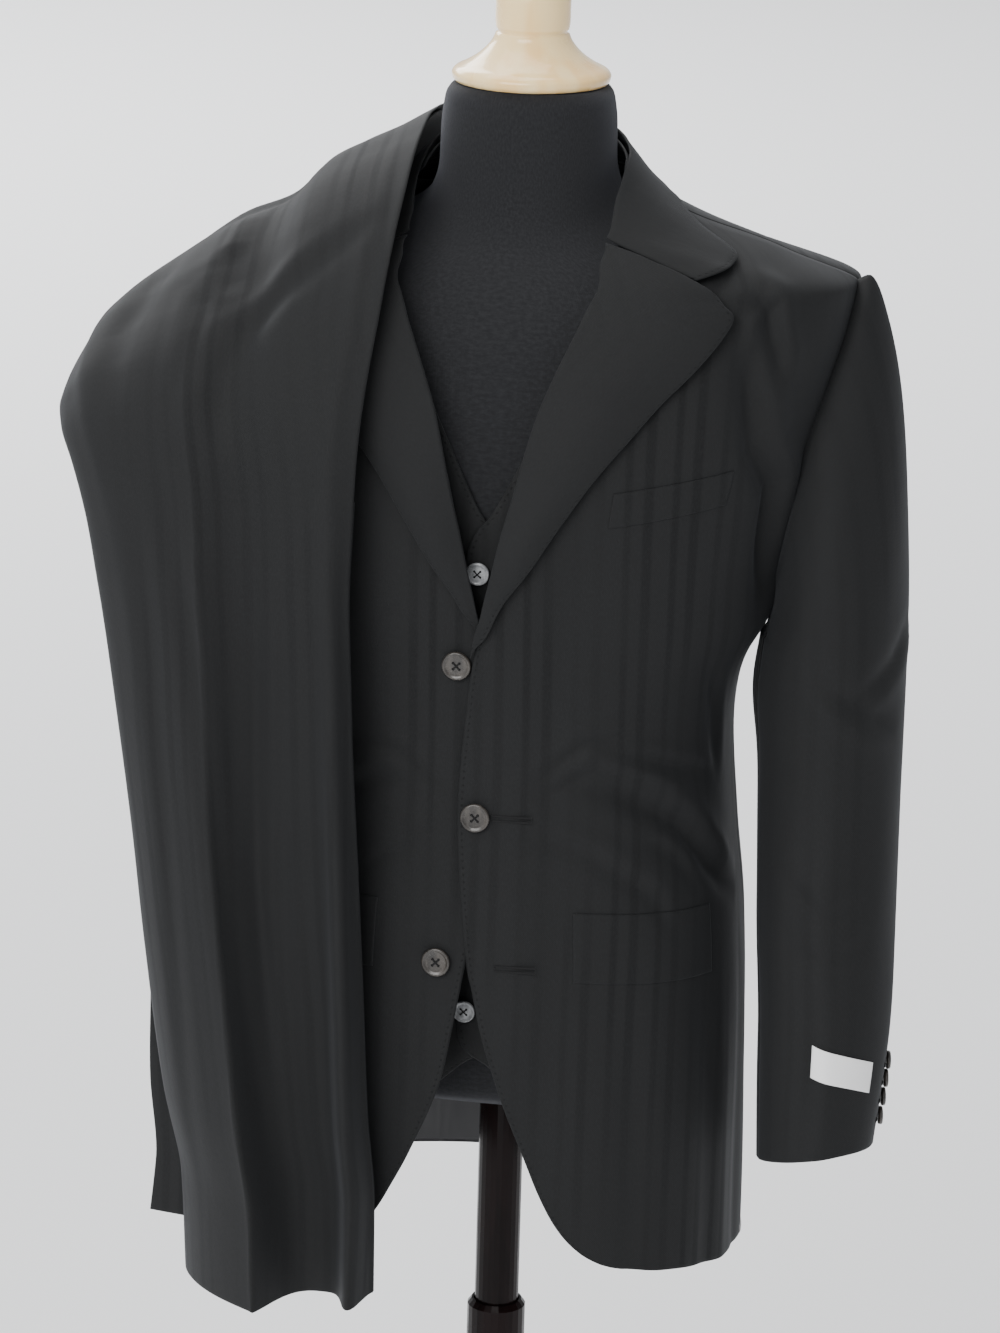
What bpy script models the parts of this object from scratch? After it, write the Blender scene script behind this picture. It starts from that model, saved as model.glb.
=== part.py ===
"""A three-piece suit on a dress form: the jacket and the waistcoat are worn by a limbless form on a pole,
and the trousers hang over the form's right shoulder. Metres, +Z up, the form's front faces -Y, and the
wearer's left is +X. The origin is the middle of the base's underside."""

from collections import namedtuple

import bmesh
import bpy
import numpy as np

# ---------- driving sizes, in metres ----------
SUITING = 0.0018          # wall of the jacket's body: cloth and its interlining
WAISTCOAT = 0.0016        # wall of the waistcoat
TROUSER = 0.0015          # wall of the trouser cloth
SEAM = 0.0003             # gap between two pieces at a seam
LAPEL_LIFT = 0.0030       # from the front's face to the underside of the lapel
LAPEL_WALL = 0.0022
LEAF_LIFT = 0.0024         # from the back and the fronts to the underside of the collar's leaf
LEAF_WALL = 0.0018
OVERLAP_LIFT = 0.0044     # how far the left front stands over the right one
BUTTON_JACKET = 0.0205    # diameter
BUTTON_CUFF = 0.0133
BUTTON_WAISTCOAT = 0.0165
BUTTON_THICK = 0.0036
WAISTCOAT_GAP = 0.0030    # from the form to the waistcoat's inside

TORSO_FOOT = 0.815        # underside of the form
POLE_RADIUS = 0.0162
TUBE_RADIUS = 0.0190
TUBE_BORE = 0.0170
TUBE_TOP = 0.600
CLAMP_RADIUS = 0.0215
CLAMP_TOP = 0.634
POLE_FOOT = 0.290
FLANGE_RADIUS = 0.050
FLANGE_THICK = 0.006
BASE_RADIUS = 0.175
BASE_THICK = 0.022
SLEEVE_LENGTH = 0.368     # from the armpit to the cuff's hem


def along(rows, key, at):
    """A column of a table of rows, read smoothly (monotone cubic) at one place or many."""
    x = np.array([row[0] for row in rows], float)
    y = np.array([getattr(row, key) for row in rows], float)
    at = np.clip(np.asarray(at, float), x[0], x[-1])
    h = np.diff(x)
    d = np.diff(y) / h
    m = np.zeros_like(y)
    m[0], m[-1] = d[0], d[-1]
    for i in range(1, len(x) - 1):
        if d[i - 1] * d[i] > 0:
            w1, w2 = 2 * h[i] + h[i - 1], h[i] + 2 * h[i - 1]
            m[i] = (w1 + w2) / (w1 / d[i - 1] + w2 / d[i])
    i = np.clip(np.searchsorted(x, at, side="right") - 1, 0, len(h) - 1)
    t = (at - x[i]) / h[i]
    return (
        y[i] * (1 + 2 * t) * (1 - t) ** 2
        + m[i] * h[i] * t * (1 - t) ** 2
        + y[i + 1] * t * t * (3 - 2 * t)
        + m[i + 1] * h[i] * t * t * (t - 1)
    )


def step(a, b, x):
    t = np.clip((np.asarray(x, float) - a) / (b - a), 0, 1)
    return t * t * (3 - 2 * t)


def bump(x, centre, width):
    return np.exp(-(((np.asarray(x, float) - centre) / width) ** 2))


# ---------- the form and the jacket's body: rings from the bottom up ----------
Ring = namedtuple("Ring", "z half front back dip rise")

# half width, depth to the front and to the back, how far the ring dips at the front and rises at the back
FORM = [
    Ring(0.815, 0.146, 0.084, 0.100, 0.0, 0.0),
    Ring(0.870, 0.157, 0.099, 0.112, 0.0, 0.0),
    Ring(0.940, 0.155, 0.105, 0.110, 0.0, 0.0),
    Ring(1.020, 0.145, 0.106, 0.100, 0.0, 0.0),
    Ring(1.085, 0.140, 0.108, 0.096, 0.0, 0.0),
    Ring(1.160, 0.148, 0.116, 0.103, 0.0, 0.0),
    Ring(1.250, 0.164, 0.126, 0.115, 0.0, 0.0),
    Ring(1.320, 0.176, 0.122, 0.118, 0.0, 0.0),
    Ring(1.370, 0.183, 0.112, 0.114, 0.0, -0.003),
    Ring(1.398, 0.182, 0.102, 0.108, 0.002, -0.009),
    Ring(1.418, 0.164, 0.092, 0.101, 0.005, -0.013),
    Ring(1.436, 0.121, 0.081, 0.090, 0.009, -0.013),
    Ring(1.452, 0.086, 0.070, 0.077, 0.013, -0.006),
    Ring(1.468, 0.0665, 0.063, 0.066, 0.015, 0.003),
    Ring(1.490, 0.0610, 0.059, 0.061, 0.015, 0.008),
    Ring(1.515, 0.0605, 0.057, 0.058, 0.010, 0.007),
    Ring(1.540, 0.0570, 0.055, 0.055, 0.002, 0.002),
]

JACKET = [
    Ring(0.700, 0.1765, 0.148, 0.146, 0.0, 0.0),
    Ring(0.800, 0.1755, 0.146, 0.142, 0.0, 0.0),
    Ring(0.880, 0.1740, 0.144, 0.137, 0.0, 0.0),
    Ring(0.950, 0.1700, 0.141, 0.130, 0.0, 0.0),
    Ring(1.020, 0.1620, 0.137, 0.121, 0.0, 0.0),
    Ring(1.090, 0.1575, 0.136, 0.116, 0.0, 0.0),
    Ring(1.150, 0.1640, 0.140, 0.120, 0.0, 0.0),
    Ring(1.200, 0.1800, 0.144, 0.128, 0.0, 0.0),
    Ring(1.250, 0.1980, 0.147, 0.135, 0.0, 0.0),
    Ring(1.300, 0.2120, 0.145, 0.138, 0.0, 0.0),
    Ring(1.350, 0.2230, 0.137, 0.136, 0.0, 0.0),
    Ring(1.390, 0.2310, 0.125, 0.130, 0.0, -0.006),
    Ring(1.415, 0.2330, 0.113, 0.123, 0.0, -0.012),
    Ring(1.436, 0.1800, 0.101, 0.114, 0.004, -0.014),
    Ring(1.454, 0.1230, 0.090, 0.103, 0.008, -0.010),
    Ring(1.468, 0.0930, 0.081, 0.090, 0.011, -0.002),
    Ring(1.480, 0.0765, 0.075, 0.081, 0.013, 0.005),
    Ring(1.495, 0.0655, 0.071, 0.074, 0.014, 0.010),
    Ring(1.515, 0.0620, 0.068, 0.070, 0.014, 0.012),
    Ring(1.530, 0.0610, 0.066, 0.068, 0.014, 0.012),
]

SQUARE = 2.5  # how square a ring of the body is: 2 is an ellipse, as round the back of the neck


def ring_point(rings, degrees, z, out=0.0):
    """The point of a ringed surface at an angle (0 = the side, -90 = front, 90 = back), moved out along the surface's normal."""
    degrees, z = np.broadcast_arrays(np.asarray(degrees, float), np.asarray(z, float))
    low, high = rings[0].z, rings[-1].z

    def raw(deg, zz):
        a = np.radians(deg)
        c, s = np.cos(a), np.sin(a)
        half = along(rings, "half", zz)
        depth = np.where(s < 0, along(rings, "front", zz), along(rings, "back", zz))
        square = SQUARE - 0.5 * step(1.43, 1.475, zz) * step(-0.1, 0.2, s)
        x = half * np.sign(c) * np.abs(c) ** (2 / square)
        y = depth * np.sign(s) * np.abs(s) ** (2 / square)
        return np.stack([x, y, zz + np.where(s < 0, along(rings, "dip", zz), along(rings, "rise", zz)) * s], -1)

    p = raw(degrees, z)
    da = raw(degrees + 1.5, z) - raw(degrees - 1.5, z)
    dz = raw(degrees, np.minimum(z + 0.003, high)) - raw(degrees, np.maximum(z - 0.003, low))
    n = np.cross(da, dz)
    n /= np.linalg.norm(n, axis=-1, keepdims=True) + 1e-12
    return p + n * np.broadcast_to(np.asarray(out, float), z.shape)[..., None]


def settle_right(p):
    """The right shoulder lies lower, pressed by the trousers that hang over it."""
    x, z = np.abs(p[..., 0]), p[..., 2]
    low = 0.006 * step(0.07, 0.12, x) + 0.011 * step(0.14, 0.23, x) + 0.008 * step(0.235, 0.265, x)
    low = low + 0.006 * step(0.13, 0.17, x) * step(0.02, 0.06, -p[..., 1])
    p[..., 2] = z - low * step(1.27, 1.40, z)
    return p


def jacket_folds(side, angle, z):
    """The jacket's largest folds, in metres in or out."""
    drape = along(DRAPE, "angle", z)
    out = -0.0065 * bump(angle, drape, 6.0) * step(1.20, 1.27, z) * (1 - step(1.39, 1.43, z))
    out = out + 0.0040 * bump(angle, drape - 15.0, 8.0) * step(1.22, 1.29, z) * (1 - step(1.38, 1.42, z))
    crease = along(WAIST_CREASE, "z", angle)
    out = out - 0.0035 * bump(z, crease, 0.013) * step(-68, -55, angle) * (1 - step(-14, -4, angle))
    out = out + 0.0025 * bump(z, crease + 0.026, 0.014) * step(-66, -50, angle) * (1 - step(-20, -6, angle))
    return out


Drape = namedtuple("Drape", "z angle")
DRAPE = [Drape(1.18, -14.0), Drape(1.212, -17.0), Drape(1.282, -27.0), Drape(1.315, -37.0), Drape(1.378, -45.0), Drape(1.42, -46.0)]
Crease = namedtuple("Crease", "angle z")
WAIST_CREASE = [Crease(-70.0, 1.078), Crease(-58.0, 1.070), Crease(-34.6, 1.038), Crease(-25.8, 1.015), Crease(-14.0, 0.989), Crease(10.0, 0.975)]


def jacket_point(side, angle, z, out=0.0):
    """A point of the jacket's outside; side is 1 on the wearer's left and -1 on the right."""
    angle, z = np.broadcast_arrays(np.asarray(angle, float), np.asarray(z, float))
    pressed = 0.005 * step(-72.0, -62.0, angle) * (1 - step(-50.0, -36.0, angle)) * step(1.35, 1.39, z) if side < 0 else 0.0
    p = ring_point(JACKET, angle, z, jacket_folds(side, angle, z) - pressed + out)
    if side < 0:
        p[..., 0] *= -1
        p = settle_right(p)
    return p


# ---------- the armhole: round it from the shoulder (0) by the back (90) and the underarm (180) to the front (270) ----------
Hole = namedtuple("Hole", "turn angle z")
ARMHOLE = [
    Hole(0, 0.0, 1.4150),
    Hole(25, 9.0, 1.385),
    Hole(50, 17.0, 1.338),
    Hole(80, 22.0, 1.286),
    Hole(110, 21.0, 1.245),
    Hole(135, 17.0, 1.214),
    Hole(160, 10.5, 1.196),
    Hole(184, 4.0, 1.190),
    Hole(205, -4.0, 1.199),
    Hole(228, -11.5, 1.224),
    Hole(252, -16.0, 1.262),
    Hole(280, -16.5, 1.302),
    Hole(310, -12.0, 1.347),
    Hole(335, -6.0, 1.388),
    Hole(360, 0.0, 1.4150),
]
SIDE_SEAM = 184.0

# the front: height of the inner edge (front edge, then roll line, then neck), its angle on the left and the right
# front, the place on the armhole that the row runs to, and how far down the side seam from there
Front = namedtuple("Front", "z left right turn drop")
FRONT = [
    Front(0.7192, -55.6, -55.6, 184, 0.4930),
    Front(0.7233, -61.0, -61.0, 184, 0.4850),
    Front(0.7346, -67.8, -67.8, 184, 0.4735),
    Front(0.7519, -73.0, -73.0, 184, 0.4580),
    Front(0.7741, -76.9, -76.9, 184, 0.4360),
    Front(0.7997, -80.1, -80.6, 184, 0.4090),
    Front(0.8568, -86.0, -86.3, 184, 0.3450),
    Front(0.9040, -89.1, -88.2, 184, 0.2970),
    Front(0.9550, -90.6, -89.8, 184, 0.2440),
    Front(1.0600, -92.4, -94.0, 184, 0.1370),
    Front(1.1350, -91.2, -93.0, 184, 0.0600),
    Front(1.1720, -90.3, -91.0, 184, 0.0200),
    Front(1.1920, -89.8, -89.5, 189, 0.0000),
    Front(1.2270, -88.7, -88.4, 222, 0.0000),
    Front(1.2825, -86.5, -86.5, 258, 0.0000),
    Front(1.3328, -84.2, -84.0, 288, 0.0000),
    Front(1.3628, -82.1, -82.1, 308, 0.0000),
    Front(1.3992, -79.0, -79.0, 328, 0.0000),
    Front(1.4330, -73.2, -73.2, 340, 0.0000),
    Front(1.4500, -60.5, -60.5, 348, 0.0000),
    Front(1.4660, -38.0, -38.0, 354, 0.0000),
    Front(1.4760, -18.0, -18.0, 358, 0.0000),
    Front(1.4815, -0.06, -0.06, 360, 0.0000),
]

Back = namedtuple("Back", "z centre turn drop")
BACK = [
    Back(0.6970, 89.95, 184, 0.4940),
    Back(1.0600, 89.95, 184, 0.1300),
    Back(1.1720, 89.95, 184, 0.0180),
    Back(1.1900, 89.95, 178, 0.0000),
    Back(1.2250, 89.95, 150, 0.0000),
    Back(1.2700, 89.95, 120, 0.0000),
    Back(1.3200, 89.95, 90, 0.0000),
    Back(1.3600, 89.95, 62, 0.0000),
    Back(1.4000, 89.95, 38, 0.0000),
    Back(1.4400, 89.95, 18, 0.0000),
    Back(1.4720, 89.95, 6, 0.0000),
    Back(1.4755, 60.0, 3.5, 0.0000),
    Back(1.4785, 30.0, 1.5, 0.0000),
    Back(1.4815, 0.06, 0.0, 0.0000),
]


def front_point(side, s, z, out=0.0, lifted=True):
    """A point of a front: s runs from the inner edge (0) to the side seam and the armhole (1), z picks the row."""
    s, z = np.broadcast_arrays(np.asarray(s, float), np.asarray(z, float))
    inner = along(FRONT, "left" if side > 0 else "right", z)
    turn, drop = along(FRONT, "turn", z), along(FRONT, "drop", z)
    angle = inner + s * (along(ARMHOLE, "angle", turn) - 0.06 - inner)
    height = z + s * (along(ARMHOLE, "z", turn) - drop - z)
    return jacket_point(side, angle, height, out + (front_lift(side, angle, height) if lifted else 0.0))


def front_lift(side, angle, z):
    """The left front stands over the right one where they overlap."""
    if side < 0:
        return np.zeros(np.shape(angle))
    return OVERLAP_LIFT * (1 - step(-85.0, -74.0, angle)) * step(0.76, 0.86, z) * (1 - step(1.22, 1.30, z))


def back_point(side, s, z, out=0.0):
    s, z = np.broadcast_arrays(np.asarray(s, float), np.asarray(z, float))
    inner = along(BACK, "centre", z)
    turn, drop = along(BACK, "turn", z), along(BACK, "drop", z)
    angle = inner + s * (along(ARMHOLE, "angle", turn) + 0.30 * step(0.0, 60.0, turn) + 0.06 - inner)
    height = z + s * (along(ARMHOLE, "z", turn) - drop - z)
    return jacket_point(side, angle, height, out)


# ---------- the lapels and the collar, made from the fronts' own points, moved out ----------
Lapel = namedtuple("Lapel", "z roll edge_z edge")
LAPEL = [
    Lapel(1.1740, -90.6, 1.1760, -89.2),
    Lapel(1.1920, -90.0, 1.1935, -88.4),
    Lapel(1.2070, -89.6, 1.2085, -87.0),
    Lapel(1.2270, -88.9, 1.2328, -83.3),
    Lapel(1.2550, -87.9, 1.2620, -79.2),
    Lapel(1.2825, -86.7, 1.2984, -73.6),
    Lapel(1.3100, -85.6, 1.3230, -68.7),
    Lapel(1.3370, -84.3, 1.3475, -63.6),
    Lapel(1.3650, -82.3, 1.3710, -57.8),
    Lapel(1.3920, -80.0, 1.4019, -51.8),
    Lapel(1.4180, -77.4, 1.4110, -54.2),
    Lapel(1.4370, -72.6, 1.4175, -56.0),
    Lapel(1.4515, -63.3, 1.4232, -57.7),
]

Leaf = namedtuple("Leaf", "at fold fold_z edge edge_z")
COLLAR_LEAF = [
    Leaf(0, -60.4, 1.4553, -57.0, 1.4250),
    Leaf(1, -55.0, 1.4602, -46.5, 1.4295),
    Leaf(2, -47.0, 1.4675, -38.2, 1.4340),
    Leaf(3, -36.0, 1.4762, -26.0, 1.4405),
    Leaf(4, -22.0, 1.4840, -13.0, 1.4520),
    Leaf(5, -8.0, 1.4895, -4.0, 1.4586),
    Leaf(6, 10.0, 1.4935, 12.0, 1.4665),
    Leaf(7, 34.0, 1.4965, 35.0, 1.4690),
    Leaf(8, 60.0, 1.4980, 60.0, 1.4680),
    Leaf(9, 90.0, 1.4985, 90.0, 1.4660),
]

Stand = namedtuple("Stand", "at angle low high")
COLLAR_STAND = [
    Stand(0, -12.0, 1.4805, 1.4850),
    Stand(1, 0.0, 1.4835, 1.4895),
    Stand(2, 30.0, 1.4812, 1.4925),
    Stand(3, 60.0, 1.4785, 1.4945),
    Stand(4, 90.0, 1.4755, 1.4950),
]


def lapel_point(side, s, z, out=0.0):
    s, z = np.broadcast_arrays(np.asarray(s, float), np.asarray(z, float))
    roll, edge = along(LAPEL, "roll", z), along(LAPEL, "edge", z)
    angle = roll + s * (edge - roll)
    height = z + s * (along(LAPEL, "edge_z", z) - z)
    rolled = 0.0025 * np.sin(np.pi * np.clip(s, 0, 1)) * step(1.18, 1.26, z)
    return jacket_point(side, angle, height, LAPEL_LIFT + out + rolled + front_lift(side, angle, height))


def two_sided(rows, column, at):
    """A column read from the left end (0) by the middle of the back (1) to the right end (2)."""
    last = rows[-1].at
    return along(rows, column, last * (1 - np.abs(1 - np.asarray(at, float))))


def on_both_sides(at, angle, z, out):
    left = jacket_point(1, angle, z, out)
    right = jacket_point(-1, angle, z, out)
    p = np.where((at < 1)[..., None], left, right)
    p[..., 2] = np.where(at > 1, right[..., 2], left[..., 2])
    p[..., 0] = np.where(np.abs(at - 1) < 1e-9, 0.0, p[..., 0])
    return p


def leaf_point(at, s, out=0.0):
    """The collar's leaf: s runs from its fold (0) to its outer edge (1)."""
    at, s = np.broadcast_arrays(np.asarray(at, float), np.asarray(s, float))
    fold, edge = two_sided(COLLAR_LEAF, "fold", at), two_sided(COLLAR_LEAF, "edge", at)
    fold_z, edge_z = two_sided(COLLAR_LEAF, "fold_z", at), two_sided(COLLAR_LEAF, "edge_z", at)
    ends = np.minimum(at, 2 - at)
    bridge = 0.0020 * np.sin(np.pi * s) * step(0.15, 0.45, ends)
    return on_both_sides(at, fold + s * (edge - fold), fold_z + s * (edge_z - fold_z), LEAF_LIFT + out + bridge)


def stand_point(at, s, out=0.0):
    at, s = np.broadcast_arrays(np.asarray(at, float), np.asarray(s, float))
    angle = two_sided(COLLAR_STAND, "angle", at)
    low, high = two_sided(COLLAR_STAND, "low", at), two_sided(COLLAR_STAND, "high", at)
    return on_both_sides(at, angle, low + s * (high - low), out)


# ---------- the sleeves: centre, half width and half depth going down from the armpit ----------
Arm = namedtuple("Arm", "drop x y half deep")
SLEEVE_LEFT = [
    Arm(0.000, 0.2295, -0.008, 0.0500, 0.0680),
    Arm(0.095, 0.2305, -0.012, 0.0505, 0.0630),
    Arm(0.195, 0.2340, -0.028, 0.0500, 0.0585),
    Arm(0.285, 0.2385, -0.045, 0.0470, 0.0540),
    Arm(0.368, 0.2375, -0.058, 0.0415, 0.0500),
]
SLEEVE_RIGHT = [
    Arm(0.000, 0.2270, 0.004, 0.0480, 0.0680),
    Arm(0.095, 0.2270, 0.012, 0.0480, 0.0620),
    Arm(0.195, 0.2235, 0.032, 0.0475, 0.0570),
    Arm(0.285, 0.2210, 0.048, 0.0460, 0.0530),
    Arm(0.368, 0.2150, 0.058, 0.0415, 0.0500),
]
ARMPIT = 1.165
FORE_SEAM, HIND_SEAM = -158.0, 22.0  # where the upper and the under sleeve are joined, round the arm


def sleeve_point(side, turn, v, out=0.0):
    """A point of a sleeve: turn goes round it (0 outside, 90 back, 180 inside, 270 front), v is 0 to 1 over the
    crown and 1 to 2 from the armpit to the cuff."""
    turn, v = np.broadcast_arrays(np.asarray(turn, float), np.asarray(v, float))
    rows = SLEEVE_LEFT if side > 0 else SLEEVE_RIGHT

    def ring(t, drop, extra):
        a = np.radians(t)
        c, s = np.cos(a), np.sin(a)
        lean = -0.008 * step(0.24, 0.36, drop)
        tip = 0.009 * step(0.15, 0.36, drop) * (1 if side > 0 else -1)
        return np.stack([
            along(rows, "x", drop) + (along(rows, "half", drop) + extra) * c,
            along(rows, "y", drop) + (along(rows, "deep", drop) + extra) * s,
            ARMPIT - drop - lean * c - tip * s], -1)

    a = np.radians(turn)
    w = (1 + np.cos(a)) / 2
    round_hole = np.mod(turn, 360.0)
    hole = ring_point(JACKET, along(ARMHOLE, "angle", round_hole), along(ARMHOLE, "z", round_hole), 0.0)
    leave = np.stack([np.ones_like(a), 0.95 * np.sin(a), 0.10 * np.cos(a)], -1)
    leave /= np.linalg.norm(leave, axis=-1, keepdims=True)
    hole = hole + leave * 0.0012
    foot = ring(turn, np.zeros_like(a), 0.0)
    t = np.clip(v, 0, 1)[..., None]
    c1 = hole + leave * (0.012 + 0.022 * w)[..., None]
    c2 = foot + np.stack([0 * a, 0 * a, 0.006 + 0.078 * w], -1)
    crown = hole * (1 - t) ** 3 + 3 * c1 * t * (1 - t) ** 2 + 3 * c2 * t * t * (1 - t) + foot * t ** 3
    below = ring(turn, np.clip(v - 1, 0, 1) * rows[-1].drop, 0.0)
    p = np.where((v <= 1)[..., None], crown, below)
    # the wall's thickness goes towards the arm's own middle line
    outward = np.stack([np.cos(a), np.sin(a), 0.75 * np.cos(a) * (1 - np.clip(v, 0, 1))], -1)
    outward /= np.linalg.norm(outward, axis=-1, keepdims=True)
    p = p + outward * np.broadcast_to(np.asarray(out, float), v.shape)[..., None]
    if side < 0:
        p[..., 0] *= -1
        p = settle_right(p)
    return p


# ---------- the waistcoat: on the form, a small gap away ----------
Vest = namedtuple("Vest", "z angle side side_z")
VEST_FRONT = [
    Vest(0.846, -84.0, 5.0, 0.930),
    Vest(0.858, -87.5, 5.0, 0.940),
    Vest(0.877, -92.3, 5.0, 0.955),
    Vest(0.900, -93.0, 5.0, 0.975),
    Vest(1.050, -93.0, 5.0, 1.070),
    Vest(1.200, -92.8, 5.0, 1.170),
    Vest(1.236, -92.2, 2.0, 1.190),
    Vest(1.264, -89.5, -10.0, 1.203),
    Vest(1.302, -85.4, -30.0, 1.235),
    Vest(1.339, -80.9, -38.0, 1.290),
    Vest(1.360, -78.6, -36.0, 1.335),
    Vest(1.395, -72.0, -28.0, 1.378),
    Vest(1.425, -55.0, -16.0, 1.402),
    Vest(1.448, -25.0, -6.0, 1.415),
    Vest(1.460, -0.06, -0.06, 1.422),
]
Vback = namedtuple("Vback", "z angle side side_z")
VEST_BACK = [
    Vback(0.918, 89.95, 5.4, 0.930),
    Vback(1.050, 89.95, 5.4, 1.070),
    Vback(1.160, 89.95, 5.4, 1.170),
    Vback(1.195, 89.95, 9.0, 1.190),
    Vback(1.260, 89.95, 25.0, 1.235),
    Vback(1.320, 89.95, 33.0, 1.290),
    Vback(1.365, 89.95, 31.0, 1.340),
    Vback(1.400, 89.95, 23.0, 1.380),
    Vback(1.430, 89.95, 11.0, 1.404),
    Vback(1.448, 89.95, 5.0, 1.413),
    Vback(1.453, 55.0, 2.0, 1.418),
    Vback(1.460, 0.06, 0.06, 1.422),
]


def vest_point(side, rows, s, z, out=0.0):
    s, z = np.broadcast_arrays(np.asarray(s, float), np.asarray(z, float))
    inner, outer = along(rows, "angle", z), along(rows, "side", z)
    angle = inner + s * (outer - inner)
    height = z + s * (along(rows, "side_z", z) - z)
    lift = 0.0
    if side > 0 and rows is VEST_FRONT:
        lift = 0.0036 * (1 - step(-86.0, -76.0, angle)) * (1 - step(1.255, 1.30, height))
    p = ring_point(FORM, angle, height, WAISTCOAT_GAP + 0.0025 * step(1.35, 1.41, height) + 0.0030 * step(1.435, 1.452, height) + WAISTCOAT + out + lift + 0.009 * (1 - step(0.850, 0.935, height)) * (1 - step(-60.0, -20.0, angle)))
    p[..., 0] *= side
    return p


# ---------- the trousers: a path from the hem up over the shoulder to the waist, each row from the neck side to the arm side ----------
Fall = namedtuple("Fall", "at in_x in_y in_z out_x out_y out_z bow")
FALL = [
    Fall(0.000, -0.060, -0.1540, 0.700, -0.209, -0.1020, 0.686, 0.00),
    Fall(0.080, -0.061, -0.1535, 0.770, -0.213, -0.1020, 0.760, 0.00),
    Fall(0.140, -0.067, -0.1530, 0.830, -0.227, -0.1020, 0.824, 0.00),
    Fall(0.240, -0.073, -0.1520, 0.930, -0.242, -0.1020, 0.930, 0.00),
    Fall(0.330, -0.079, -0.1500, 1.020, -0.253, -0.1010, 1.020, 0.00),
    Fall(0.430, -0.085, -0.1500, 1.120, -0.267, -0.1000, 1.118, 0.04),
    Fall(0.510, -0.087, -0.1540, 1.200, -0.278, -0.0990, 1.190, 0.12),
    Fall(0.570, -0.084, -0.1570, 1.260, -0.287, -0.0950, 1.238, 0.25),
    Fall(0.620, -0.081, -0.1560, 1.310, -0.298, -0.0880, 1.271, 0.42),
    Fall(0.670, -0.077, -0.1500, 1.360, -0.310, -0.0760, 1.289, 0.62),
    Fall(0.720, -0.072, -0.1380, 1.405, -0.317, -0.0560, 1.302, 0.80),
    Fall(0.770, -0.069, -0.1150, 1.445, -0.318, -0.0340, 1.311, 0.92),
    Fall(0.820, -0.067, -0.0800, 1.480, -0.317, -0.0140, 1.316, 1.00),
    Fall(0.870, -0.067, -0.0350, 1.504, -0.315, 0.0060, 1.318, 1.00),
    Fall(0.910, -0.067, 0.0050, 1.513, -0.313, 0.0260, 1.315, 1.00),
    Fall(0.950, -0.068, 0.0470, 1.511, -0.310, 0.0460, 1.306, 1.00),
    Fall(1.000, -0.069, 0.0950, 1.490, -0.306, 0.0700, 1.284, 0.95),
    Fall(1.060, -0.070, 0.1300, 1.446, -0.302, 0.0950, 1.243, 0.80),
    Fall(1.140, -0.072, 0.1520, 1.370, -0.297, 0.1140, 1.178, 0.55),
    Fall(1.210, -0.074, 0.1600, 1.302, -0.292, 0.1220, 1.116, 0.40),
    Fall(1.250, -0.074, 0.1610, 1.262, -0.288, 0.1240, 1.080, 0.35),
]

# the outline over the shoulder, from the neck side to the arm side
Crest = namedtuple("Crest", "share bow")
CREST = [
    Crest(0.00, 0.000),
    Crest(0.08, 0.003),
    Crest(0.18, 0.0105),
    Crest(0.26, 0.0145),
    Crest(0.37, 0.0090),
    Crest(0.49, 0.0170),
    Crest(0.63, 0.0210),
    Crest(0.78, 0.0218),
    Crest(0.86, 0.0205),
    Crest(0.92, 0.0130),
    Crest(0.97, 0.0060),
    Crest(1.00, 0.000),
]
FORK_AT = 0.585           # the inner panels of both legs end here
BAND_AT = 1.206           # the waistband starts here
WAIST_AT = 1.245
HEM_BEHIND = 0.038        # the leg behind is this much shorter

Under = namedtuple("Under", "at inner outer")
BEHIND = [Under(0.0, 0.20, 1.230), Under(0.06, 0.18, 1.165), Under(0.14, 0.14, 1.07), Under(0.24, 0.10, 0.985), Under(0.45, 0.06, 0.975), Under(0.60, 0.03, 0.985), Under(0.75, 0.015, 0.99), Under(1.30, 0.015, 0.99)]

Bulge = namedtuple("Bulge", "at ridge lip body stack")
BULGE = [
    Bulge(0.000, 0.056, 0.034, 0.012, 0.0105),
    Bulge(0.100, 0.050, 0.028, 0.012, 0.0105),
    Bulge(0.240, 0.040, 0.022, 0.011, 0.0105),
    Bulge(0.400, 0.029, 0.014, 0.010, 0.0105),
    Bulge(0.520, 0.020, 0.009, 0.009, 0.0105),
    Bulge(0.600, 0.014, 0.006, 0.007, 0.0102),
    Bulge(0.700, 0.008, 0.003, 0.004, 0.0040),
    Bulge(0.800, 0.003, 0.001, 0.001, 0.0030),
    Bulge(1.300, 0.000, 0.000, 0.000, 0.0030),
]

# the pressed crease, as a share of the way from the neck side to the arm side
Pressed = namedtuple("Pressed", "at share")
PRESSED = [Pressed(0.0, 0.515), Pressed(0.20, 0.560), Pressed(0.33, 0.590), Pressed(0.515, 0.548), Pressed(0.61, 0.518), Pressed(1.3, 0.515)]


def fall_point(at, s, out=0.0, turn=0.0):
    """A point on the path of the trousers, moved out from the body; turn swings that way out towards the front."""
    at, s = np.broadcast_arrays(np.asarray(at, float), np.asarray(s, float))

    def raw(a, t):
        inner = np.stack([along(FALL, k, a) for k in ("in_x", "in_y", "in_z")], -1)
        outer = np.stack([along(FALL, k, a) for k in ("out_x", "out_y", "out_z")], -1)
        return inner + (outer - inner) * t[..., None]

    across = raw(at, np.ones_like(s)) - raw(at, np.zeros_like(s))
    h = 0.012
    up = raw(np.minimum(at + h, FALL[-1].at), s) - raw(np.maximum(at - h, 0.0), s)
    n = np.cross(up, across)
    n /= np.linalg.norm(n, axis=-1, keepdims=True)
    n = n + np.stack([turn * (1 - step(0.45, 0.72, at)) * np.ones_like(s), 0 * s, 0 * s], -1)
    bow = along(FALL, "bow", at) * along(CREST, "bow", s)
    return raw(at, s) + n * (bow + out)[..., None]


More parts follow.
